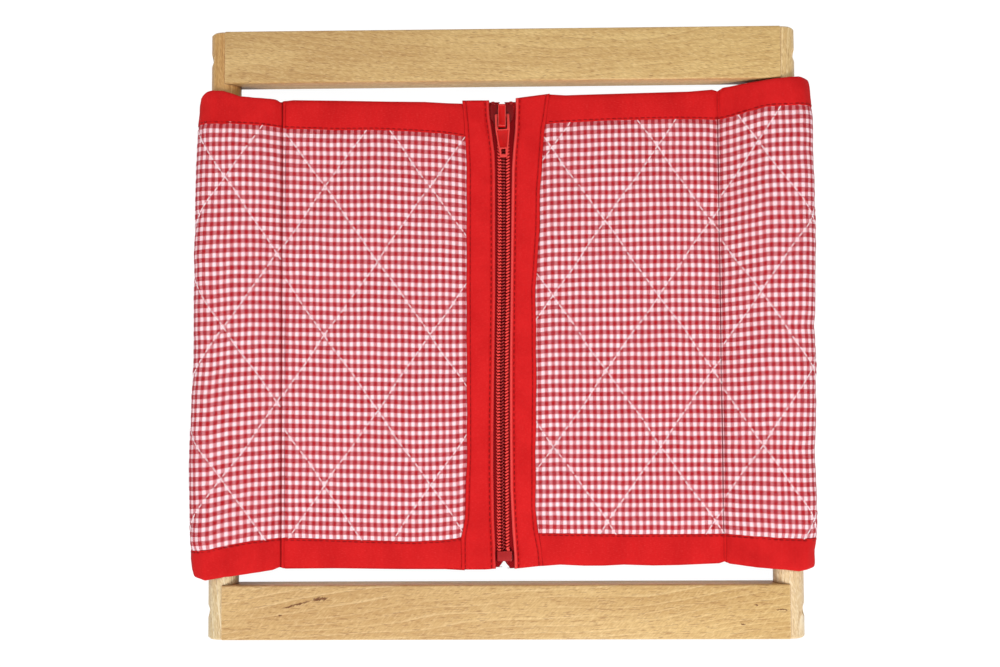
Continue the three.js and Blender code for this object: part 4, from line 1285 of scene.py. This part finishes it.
class DRESSING_OT_frame(bpy.types.Operator):
    """Finishes the posts, the rails and their screws"""

    bl_idname = "dressing.frame"
    bl_label = "Wooden frame"

    def execute(self, context):
        settings = context.scene.dressing_frame
        # Each mark: its place along and across the grain, its half length and width, and its slant
        marks = ((-92, -133.6, 5, 0.9, 0.12), (-104, -136.4, 9, 0.6, 0.25),
                 (124.6, -137.1, 1.2, 0.5, -0.3), (137.4, -139.4, 3.4, 0.5, -0.05),
                 (118, -146.6, 1.6, 0.5, -0.3), (-112, -141.6, 1.2, 0.4, 0.1))
        pale, brown = linear(250, 224, 172), linear(160, 112, 62)
        # Each piece: its grain's direction and seed, its tints of painted light and shade, the growth
        # lines' bow, the flecks' slant, the lines' colour, and its marks
        pieces = (
            ("left_post", "Y", 1.3, ((1.12, 1.34, 1.9, 1.0), (0.8, 0.67, 0.52, 1.0)), (0, 0), 0.3, pale, ()),
            ("right_post", "Y", 4.1, ((1.18, 1.35, 1.9, 1.0), (1.09, 1.17, 1.3, 1.0)), (0, 0), 0.3, pale, ()),
            ("top_rail", "X", 2.2, ((0.9, 0.88, 0.85, 1.0), (1.0, 1.02, 0.98, 1.0)),
             (-0.022, 0.373), 0.3, brown, ()),
            ("bottom_rail", "X", 6.4, ((0.95, 0.92, 0.95, 1.0), (0.97, 0.95, 0.9, 1.0)),
             (0.12, 0), -0.7, pale, marks))
        for node, lengthways, seed, light_and_shade_tints, bow, slant, line, streaks in pieces:
            piece = dressed_copy(node, f"beech_{node}", 0.4, 3, 50)
            label = f"Beech of the {node.replace('_', ' ')}"
            finish = wood_finish(label, settings, seed, lengthways, light_and_shade_tints, bow, slant, line, streaks)
            finish_piece(piece, finish, "frame", "wood", node)
        steel = material("steel", steel_finish)
        for node in ("screw_top_left", "screw_top_right", "screw_bottom_left", "screw_bottom_right"):
            piece = dressed_copy(node, f"plated_{node}", 0.06, 2, 40)
            finish_piece(piece, steel, "frame", "steel", node)
        return {"FINISHED"}


class DRESSING_OT_sleeves(bpy.types.Operator):
    """Sews the quilted tunnels round the posts, with their bindings"""

    bl_idname = "dressing.sleeves"
    bl_label = "Cloth tunnels"

    def execute(self, context):
        for side, name in SIDES.items():
            stations = [("cloth", s, 0.0, 0.0) for s in np.linspace(-0.006, 1.006, 190)]
            outer, inner, uvs = sleeve_rings(side, stations, TUNNEL_PUFF)
            sleeve = tube(f"quilted_{name}_sleeve", outer, inner, uvs)
            finish_piece(sleeve, gingham(context), "frame", "gingham", f"{name}_sleeve")
            # The binding's section as (share of its height, lift, inset)
            profile = [(0.0, -0.1, -0.2), (0.004, 0.22, 0.1), (0.03, 0.36, 0.2), (0.07, 0.26, 0.2),
                       (0.11, 0.38, 0.2), (0.22, 0.5, 0.2), (0.4, 0.58, 0.2), (0.58, 0.6, 0.2),
                       (0.74, 0.55, 0.2), (0.87, 0.44, 0.2), (0.95, 0.2, 0.1), (0.985, -0.1, -0.2),
                       (1.0, -0.5, -0.6)]
            for place, word in ENDS:
                stations = [(place, share, lift, inset) for share, lift, inset in profile]
                outer, inner, uvs = sleeve_rings(side, stations, 0.0)
                binding = tube(f"bound_{name}_sleeve_{word}", outer, inner, uvs)
                finish_piece(binding, red_cotton(), "frame", "red_cotton",
                             f"{name}_sleeve_{word}_binding")
        return {"FINISHED"}


class DRESSING_OT_flaps(bpy.types.Operator):
    """Makes the two quilted flaps with their linings and bindings"""

    bl_idname = "dressing.flaps"
    bl_label = "Flaps"

    def panel(self, context, side, name):
        columns, rows = 128, 236
        near = seam_places()
        v = np.linspace(-0.008, 1.008, rows + 1)
        grid, uvs = [], []
        for share in v:
            rough_y = CLOTH_LOW_Y + share * CLOTH_HEIGHT
            inner = facing_edge(side, rough_y, "out") - PANEL_TUCK
            x = inner + (near[0] - inner) * np.linspace(0, 1, columns + 1 - len(near), endpoint=False)
            x = np.concatenate([x, near])
            top, low = along(TOP_BINDING, side * x), along(LOW_BINDING, side * x)
            y = low + (top - low) * share
            z = panel_front(x, y, side)
            grid.append(np.stack([side * x, y, z + CLOTH_Z], 1))
            uvs.append(np.stack([side * x, np.full_like(x, (share - 0.5) * CLOTH_HEIGHT)], 1))
        grid, uvs = np.asarray(grid), np.asarray(uvs)
        verts = list(grid.reshape(-1, 3))
        flat_uvs = list(uvs.reshape(-1, 2))
        wide = columns + 1
        faces = [(j * wide + i, j * wide + i + 1, (j + 1) * wide + i + 1, (j + 1) * wide + i)
                 for j in range(rows) for i in range(columns)]
        rim = rim_of(columns, rows)
        first = len(verts)
        for corner in rim:
            verts.append((verts[corner][0], verts[corner][1], CLOTH_Z - PANEL_BACK))
            flat_uvs.append(flat_uvs[corner])
        for place, corner in enumerate(rim):
            after = (place + 1) % len(rim)
            faces.append((corner, first + place, first + after, rim[after]))
        faces.append(tuple(first + place for place in range(len(rim))))
        piece = new_object(f"quilted_{name}_panel", verts, faces, flat_uvs)
        return finish_piece(piece, gingham(context), f"{name}_flap", "gingham", f"{name}_panel")

    def lining(self, side, name):
        columns, rows = 40, 88
        verts, uvs, faces = [], [], []
        wide = columns + 1
        for level in (0, 1):
            for j in range(rows + 1):
                share = j / rows
                x = LINING_INNER_X + (HINGE_X - LINING_INNER_X) * np.linspace(0, 1, wide)
                top, low = along(TOP_BINDING, side * x) + 0.4, along(LOW_BINDING, side * x) - 0.4
                y = low + (top - low) * share
                lines = quilt_lines(side * x, y, QUILT_START[side])
                sunk = 0.14 * np.exp(-np.square(np.minimum(lines[0][0], lines[1][0]) / 1.6))
                wave = 0.05 * ripple(x, y, 12, 40 + side)
                z = (sunk + wave - LINING_BACK) if level == 0 else np.full_like(x, -LINING_FRONT)
                verts.extend(np.stack([side * x, y, z + CLOTH_Z], 1))
                uvs.extend(np.stack([side * x, y], 1))
        layer = (rows + 1) * wide
        for j in range(rows):
            for i in range(columns):
                a = j * wide + i
                faces.append((a, a + wide, a + wide + 1, a + 1))
                faces.append((layer + a, layer + a + 1, layer + a + wide + 1, layer + a + wide))
        rim = rim_of(columns, rows)
        for place, corner in enumerate(rim):
            after = rim[(place + 1) % len(rim)]
            faces.append((corner, after, layer + after, layer + corner))
        piece = new_object(f"cotton_{name}_lining", verts, faces, uvs)
        return finish_piece(piece, white_cotton(), f"{name}_flap", "lining", f"{name}_lining")

    def binding(self, side, name, place, word):
        edges = (TOP_BINDING, TOP_EDGE) if place == "top" else (LOW_BINDING, LOW_EDGE)
        near = np.linspace(100, 120, 9) if place == "top" else np.linspace(-121, -102, 9)
        start = float(np.min(facing_edge(side, near, "out"))) - 1.2
        rings, uvs = [], []
        near = seam_places()
        places = [*np.linspace(start, near[0], 130, endpoint=False), *near]
        for x in places:
            inner_y, outer_y = along(edges[0], side * x), along(edges[1], side * x)
            ring = binding_section(inner_y, outer_y)
            swell = 0.12 * ripple(np.array([x]), np.array([inner_y]), 13, 60 + side)[0]
            swell += 0.07 * math.sin(x * 2 * math.pi / GATHER_PITCH + side)
            seam = min(ease(abs(SEAM_X[side] - x) / 2.5), 0.7 + ease((HINGE_X - x) / 1.5))
            slit = SLIT_DEPTH * math.exp(-((SEAM_X[side] - x) / SLIT_WIDTH) ** 2)
            points = []
            for y, z in ring:
                share = abs((y - inner_y) / (outer_y - inner_y))
                grown = z + (swell * math.sin(math.pi * min(1, share)) if z > 0 else 0)
                covered = ease((x - start - 1) / 2.4)
                limit = grown * (0.35 + 0.65 * seam) * (0.8 + 0.2 * covered)
                limit = max(limit - slit, 0.1) if z > 0.3 else limit
                points.append((side * x, y, CLOTH_Z + max(-1.5, limit)))
            rings.append(points)
            uvs.append([(x, k * 0.8) for k in range(len(ring))])
        piece = loft(f"bound_{name}_flap_{word}", rings, uvs)
        return finish_piece(piece, red_cotton(), f"{name}_flap", "red_cotton", f"{name}_{word}_binding")

    def execute(self, context):
        for side, name in SIDES.items():
            panel = self.panel(context, side, name)
            lining = self.lining(side, name)
            bindings = [self.binding(side, name, place, word) for place, word in ENDS]
        return {"FINISHED"}


class DRESSING_OT_facings(bpy.types.Operator):
    """Sews the red facings beside the zip"""

    bl_idname = "dressing.facings"
    bl_label = "Facings"

    def section(self, inner, outer):
        """The facing's flat section as (place, height), from the zip over its front and back again."""
        # The front's profile at both edges, as (distance from the edge, height)
        near_edge = ((0.0, 0.95), (0.25, 1.35), (0.7, 1.68), (1.2, 1.62), (1.6, 1.2), (2.0, 0.84),
                     (2.5, 0.95), (3.0, 1.45), (3.4, 1.64))
        far_edge = ((3.2, 1.86), (2.6, 1.82), (2.25, 1.6), (1.9, 1.12), (1.55, 1.6), (1.2, 1.86),
                    (0.5, 1.92), (0.15, 1.7), (0.0, 1.3))
        first, last = near_edge[-1][0], far_edge[0][0]
        between = outer - inner - first - last
        points = [(inner + away, height) for away, height in near_edge]
        points += [(inner + first + between * s, 1.7 + 0.12 * s) for s in (0.2, 0.4, 0.6, 0.8)]
        points += [(outer - away, height) for away, height in far_edge]
        points += [(outer - away, 0.98) for away in (0.02, 0.8, 1.6)]
        return points + [(13.7, 0.42), (10, 0.42), (inner + 0.3, 0.42)]

    def sewn(self, side, x, height, share_y, inner, outer):
        """A point of the section in its place, with the cloth's waves and creases."""
        top, low = facing_top(side, x), facing_low(side, x)
        y = low + (top - low) * share_y
        inside = (x - inner) / (outer - inner)
        z = height
        if height > 1.05 or inside < 0.1 and height > 0.5:
            soft = math.sin(math.pi * min(1, max(0, inside)))
            wave = 0.1 * ripple(np.array([x]), np.array([y]), 19, 70 + side)[0]
            pull = 0.05 * math.sin(y * 2 * math.pi / 3 + inside * 7)
            z = height + (wave + pull) * soft + facing_crease(side, x, y)
            z = min(z, 1.72) if x < 6.1 else z
            end = min(top - y, y - low)
            z = 0.45 + (z - 0.45) * float(ease(end / 0.8) * 0.55 + 0.45)
        drawn = side * x + 0.12 * math.sin(y / 4.1 + side) * math.exp(-max(0, outer - x))
        return (drawn, y, CLOTH_Z + z)

    def execute(self, context):
        for side, name in SIDES.items():
            rings, uvs = [], []
            for share_y in np.linspace(0, 1, 300):
                rough_y = -120 + 240 * share_y
                inner, outer = facing_edge(side, rough_y, "in"), facing_edge(side, rough_y, "out")
                section = self.section(inner, outer)
                points = [self.sewn(side, x, height, share_y, inner, outer) for x, height in section]
                rings.append(points)
                uvs.append([(side * (x - inner), point[1]) for (x, _), point in zip(section, points)])
            piece = loft(f"folded_{name}_facing", rings, uvs)
            finish_piece(piece, facing_cotton(), f"{name}_flap", "red_cotton", f"{name}_facing")
        return {"FINISHED"}


class DRESSING_OT_stitches(bpy.types.Operator):
    """Stitches the quilting and the bindings' and facings' edges"""

    bl_idname = "dressing.stitches"
    bl_label = "Stitches"

    def clear_of_bindings(self, x, y):
        """Whether a place on the cloth is between the bindings, with a small margin."""
        low, top = float(along(LOW_BINDING, x)), float(along(TOP_BINDING, x))
        return low + BINDING_MARGIN < y < top - BINDING_MARGIN

    def flap_point(self, side, u, y, front):
        """A quilting stitch's place on the flap's front or back, or None where there is no cloth."""
        away = side * u
        first = float(facing_edge(side, y, "out")) + 0.4
        last = min(SEAM_X[side], HINGE_X) - 0.5
        if not first < away < last or not self.clear_of_bindings(side * away, y):
            return None
        if not front:
            return (side * away, y, CLOTH_Z - BACK_STITCH)
        z = float(panel_front(np.array([away]), np.array([y]), side)[0])
        return (side * away, y, CLOTH_Z + z + STITCH_LIFT)

    def tunnel_point(self, side, u, y, shape):
        """A quilting stitch's place round the tunnel, or None where there is no cloth."""
        section, normal, arc = shape
        away, u_of_arc = side * u, HINGE_X + arc
        first = max(SEAM_X[side], HINGE_X) + 0.8
        if not first < away < u_of_arc[-1] - 0.8:
            return None
        columns = (section[:, 0], section[:, 1], normal[:, 0], normal[:, 1])
        x, z, nx, nz = (float(np.interp(away, u_of_arc, column)) for column in columns)
        if not self.clear_of_bindings(side * x, y):
            return None
        top, low = float(along(TOP_BINDING, side * x)), float(along(LOW_BINDING, side * x))
        edge = min(top - y, y - low)
        x = float(folded_x(side, x, y))
        from_seam = float(near_seam(away - HINGE_X, arc[-1], side))
        fade = float(pillow_fade(from_seam) * pillow_fade(edge))
        place = np.array([u]), np.array([y])
        grown = float(quilt_height(*place, side, TUNNEL_PUFF, SLEEVE_QUILT_START[side])[0]) * fade
        grown += float(edge_gather(place[0], np.array([edge]), side)[0])
        lift = float(np.clip(grown, *TUNNEL_SWELL)) + STITCH_LIFT
        return (side * (x + nx * lift), y, CLOTH_Z + max(z + nz * lift, -CLOTH_Z + 0.2))

    def quilt_paths(self, start, place_of):
        """Lines of points along the quilting, each point found by a function of (u, y)."""
        start_u, start_y = start
        lines = []
        for sign in (1, -1):
            for number in range(-9, 10):
                points = []
                for y in np.arange(-112, 116, 0.6):
                    u = start_u + QUILT_WIDTH * (2 * number - sign * (y - start_y) / QUILT_HEIGHT)
                    u += 0.35 * math.sin(y / 9 + number * 1.7) + 0.2 * math.sin(y / 3.7 + sign)
                    point = place_of(u, y)
                    if point is not None:
                        points.append(point)
                        continue
                    if len(points) > 3:
                        lines.append(points)
                    points = []
                if len(points) > 3:
                    lines.append(points)
        return lines

    def quilting(self, side, name, piece, spacing):
        """The quilting's stitches on a flap's front and back and round the tunnel beside it."""
        lines = []
        for front in (True, False):
            lines += self.quilt_paths(QUILT_START[side], lambda u, y: self.flap_point(side, u, y, front))
        repeated(f"quilting_{name}_flap", lines, piece, spacing, 0.08, 3 + side, white_thread(),
                 f"{name}_flap", "gingham")
        shape = sleeve_section(400, side)
        lines = self.quilt_paths(
            SLEEVE_QUILT_START[side], lambda u, y: self.tunnel_point(side, u, y, shape))
        repeated(f"quilting_{name}_sleeve", lines, piece, spacing, 0.08, 7 + side, white_thread(),
                 "frame", "gingham")

    def flap_topstitching(self, side, name, piece):
        """The red stitches along a flap's bindings and along both edges of its facing."""
        lines = []
        for edges, away in TOPSTITCHED:
            near = 119 if away > 0 else -119.5
            start = float(facing_edge(side, near, "out")) + 0.6
            lines.append([(side * x, float(along(edges, side * x)) + away, CLOTH_Z + 1.16)
                          for x in np.arange(start, min(SEAM_X[side], HINGE_X) - 0.4, 1.0)])
        for which, away, height in (("in", 2.2, 0.92), ("out", -1.9, 1.24)):
            x = float(facing_edge(side, -119, which)) + away
            lowest, highest = facing_low(side, x) + 1.2, facing_top(side, x) - 1
            lines.append([(side * (float(facing_edge(side, y, which)) + away), y, CLOTH_Z + height)
                          for y in np.arange(lowest, highest, 1.0)])
        repeated(f"topstitching_{name}_flap", lines, piece, TOPSTITCH_SPACING, 0.1, 11 + side,
                 red_thread(), f"{name}_flap", "red_cotton")

    def tunnel_topstitching(self, side, name, piece):
        """The red stitches round a tunnel, along its bindings."""
        section, normal, arc = sleeve_section(160, side)
        first = max(SEAM_X[side] - HINGE_X, 0) + 0.8
        lines = []
        for edges, away in TOPSTITCHED:
            line = []
            for (x, z), (nx, nz), length in zip(section, normal, arc):
                if first < length < arc[-1] - 0.8:
                    y = float(along(edges, side * x)) + away
                    line.append((side * (float(folded_x(side, x, y)) + nx * 0.36), y,
                                 CLOTH_Z + max(z + nz * 0.36, -CLOTH_Z + 0.3)))
            lines.append(line)
        repeated(f"topstitching_{name}_sleeve", lines, piece, TOPSTITCH_SPACING, 0.1, 15 + side,
                 red_thread(), "frame", "red_cotton")

    def execute(self, context):
        spacing = context.scene.dressing_frame.stitch_spacing / MM
        white = capsule("white_stitch", spacing * 0.86, 0.25, sag=0.12)
        red = capsule("red_stitch", TOPSTITCH_LENGTH, 0.24, sag=0.2)
        for side, name in SIDES.items():
            self.quilting(side, name, white, spacing)
            self.flap_topstitching(side, name, red)
            self.tunnel_topstitching(side, name, red)
        drop_object(white)
        drop_object(red)
        return {"FINISHED"}


class DRESSING_OT_zip(bpy.types.Operator):
    """Makes the zip's tapes, coils, stops, box and pin"""

    bl_idname = "dressing.zip"
    bl_label = "Zip"

    def tape(self, side, name):
        """The tape's woven band, held back beside the box and ragged at both ends."""
        rings, uvs = [], []
        near_box = [BOX_LOW_Y - 0.06, BOX_LOW_Y - 0.05, BOX_TOP_Y + 0.05, BOX_TOP_Y + 0.06]
        for y in sorted([*np.linspace(TAPE_LOW_Y[side], TAPE_TOP_Y, 320), *near_box]):
            inner = 0.07 + float(row_aside(y)) + side * float(chain_drift(y))
            if side > 0 and BOX_LOW_Y - 0.055 < y < BOX_TOP_Y + 0.055:
                inner = BOX_SIDE_X + 0.02
            elif y < BOX_LOW_Y - 0.055:
                inner = 0.15 + (BOX_LOW_Y - y) * 0.72 - 0.3 * side
            inner -= 0.9 * float(ease((y - SLIDER_TOP_Y - 0.3) / 1.2))
            at_end = max(ease((y - 112) / 3), ease((-117 - y) / 2))
            inner += at_end * (0.12 * math.sin(y * 11.0) + 0.08 * math.sin(y * 23.0))
            mid_y = min(max(y, facing_low(side, TAPE_MID_X) + 0.4), facing_top(side, TAPE_MID_X) - 0.5)
            far_y = min(max(y, facing_low(side, TAPE_EDGE_X) + 0.5), facing_top(side, TAPE_EDGE_X) - 0.6)
            lip = 0.4 if side < 0 and BOX_TOP_Y < y < SLIDER_LOW_Y + 4 else 0.0
            section = [(inner, y, 0.31), (inner - lip, y, 0.33), (inner - lip, y, 0.4),
                       (inner + 1.2, y, 0.4), (TAPE_MID_X, mid_y, 0.3), (TAPE_EDGE_X, far_y, 0.28),
                       (TAPE_EDGE_X, far_y, -0.28), (TAPE_MID_X, mid_y, -0.3),
                       (inner + 1.2, y, -0.3), (inner, y, -0.28)]
            rings.append([(side * x, place_y, CLOTH_Z + z) for x, place_y, z in section])
            uvs.append([(side * x, place_y) for x, place_y, _ in section])
        piece = loft(f"woven_{name}_tape", rings, uvs)
        finish_piece(piece, tape_cloth(), f"{name}_flap", "zip_tape", f"{name}_tape")

    def coil(self, side, name):
        """One side of the chain: its turns' beads, their legs and their heads."""
        start = BOX_TOP_Y + 0.6 + (COIL_PITCH / 2 + 0.2 if side > 0 else 0)
        # Each row: its piece and its word, its distance from the middle, its height, and its finish
        # The legs' and the heads' finishes are darker copies of the beads', painted shade
        rows = ((coil_bead(f"bead_{name}", side), "beads", 2.13, 1.72, coil_plastic()),
                (coil_leg("coil_leg"), "legs", 1.1, 0.85, shaded_coil()),
                (coil_head(f"head_{name}"), "heads", 0.3, 1.45, shaded_coil_heads()))
        for piece, word, away, height, finish in rows:
            line = [(side * (away + float(row_aside(y))) + float(chain_drift(y)), y, CLOTH_Z + height)
                    for y in np.arange(start, SLIDER_TOP_Y + 0.4, 0.4)]
            if side < 0:
                line.reverse()
            repeated(f"{word}_of_{name}_coil", [line], piece, COIL_PITCH, 0.03, 1, finish,
                     f"{name}_flap", "zip_coil", f"{name}_teeth")
            drop_object(piece)

    def frayed_ends(self, side, name):
        """The loose yarns along both cut ends of a tape."""
        yarn = fibre("yarn")
        ends = [[(side * x, y, CLOTH_Z + 0.1) for x in places] for y, places in (
            (TAPE_TOP_Y - 0.1, (3.2, 8.5)), (TAPE_LOW_Y[side] + 0.1, (1.4, 6.0)))]
        repeated(f"frayed_{name}_tape", ends, yarn, 0.33, 0.5, 5 + side, tape_cloth(),
                 f"{name}_flap", "zip_tape")
        drop_object(yarn)

    def execute(self, context):
        for side, name in SIDES.items():
            self.tape(side, name)
            self.coil(side, name)
            self.frayed_ends(side, name)
            node = f"{name}_top_stop"
            finish_piece(dressed_copy(node, f"crimped_{node}", 0.2, 3, 40), dull_enamel(),
                         f"{name}_flap", "zip_stop", node)
        finish_piece(dressed_copy("retainer_box", "cast_retainer_box", 0.16, 3, 40), dull_enamel(),
                     "left_flap", "zip_stop", "retainer_box")
        finish_piece(dressed_copy("insertion_pin", "moulded_insertion_pin", 0.15, 3, 30), coil_plastic(),
                     "right_flap", "zip_coil", "insertion_pin")
        return {"FINISHED"}


class DRESSING_OT_slider(bpy.types.Operator):
    """Finishes the slider and its pull tab"""

    bl_idname = "dressing.slider"
    bl_label = "Slider"

    def execute(self, context):
        body = dressed_copy("slider_body", "cast_slider_body", 0.16, 3, 35, (CROWN_Z, 0.5, CROWN_RECESS))
        finish_piece(body, body_enamel(), "slider", "slider_enamel", "slider_body")
        pull = dressed_copy("pull_tab", "cast_pull_tab", 0.14, 3, 35)
        pivot = Matrix.Translation((0, PULL_TOP_Y * MM, 0))
        hang = Matrix.Rotation(math.radians(PULL_SKEW), 4, "Z")
        pull.data.transform(pivot @ hang @ pivot.inverted())
        finish_piece(pull, pull_enamel(), "pull_tab", "slider_enamel", "pull_tab")
        return {"FINISHED"}


class DRESSING_PT_panel(bpy.types.Panel):
    """Lists the dressing frame's pieces"""

    bl_idname = "DRESSING_PT_panel"
    bl_label = "Dressing frame"
    bl_space_type = "VIEW_3D"
    bl_region_type = "UI"
    bl_category = "Dressing frame"

    def draw(self, context):
        settings = context.scene.dressing_frame
        for name in settings.__annotations__:
            self.layout.prop(settings, name)
        for operator in OPERATORS:
            self.layout.operator(operator.bl_idname)


OPERATORS = (
    DRESSING_OT_stage,
    DRESSING_OT_frame,
    DRESSING_OT_sleeves,
    DRESSING_OT_flaps,
    DRESSING_OT_facings,
    DRESSING_OT_stitches,
    DRESSING_OT_zip,
    DRESSING_OT_slider,
)
CLASSES = (DressingFrameSettings, *OPERATORS, DRESSING_PT_panel)


def register():
    for item in CLASSES:
        bpy.utils.register_class(item)
    bpy.types.Scene.dressing_frame = PointerProperty(type=DressingFrameSettings)


def unregister():
    del bpy.types.Scene.dressing_frame
    for item in reversed(CLASSES):
        bpy.utils.unregister_class(item)


def main():
    register()
    bpy.ops.dressing.stage()
    bpy.ops.dressing.frame()
    bpy.ops.dressing.sleeves()
    bpy.ops.dressing.flaps()
    bpy.ops.dressing.facings()
    bpy.ops.dressing.stitches()
    bpy.ops.dressing.zip()
    bpy.ops.dressing.slider()


if __name__ == "__main__":
    main()
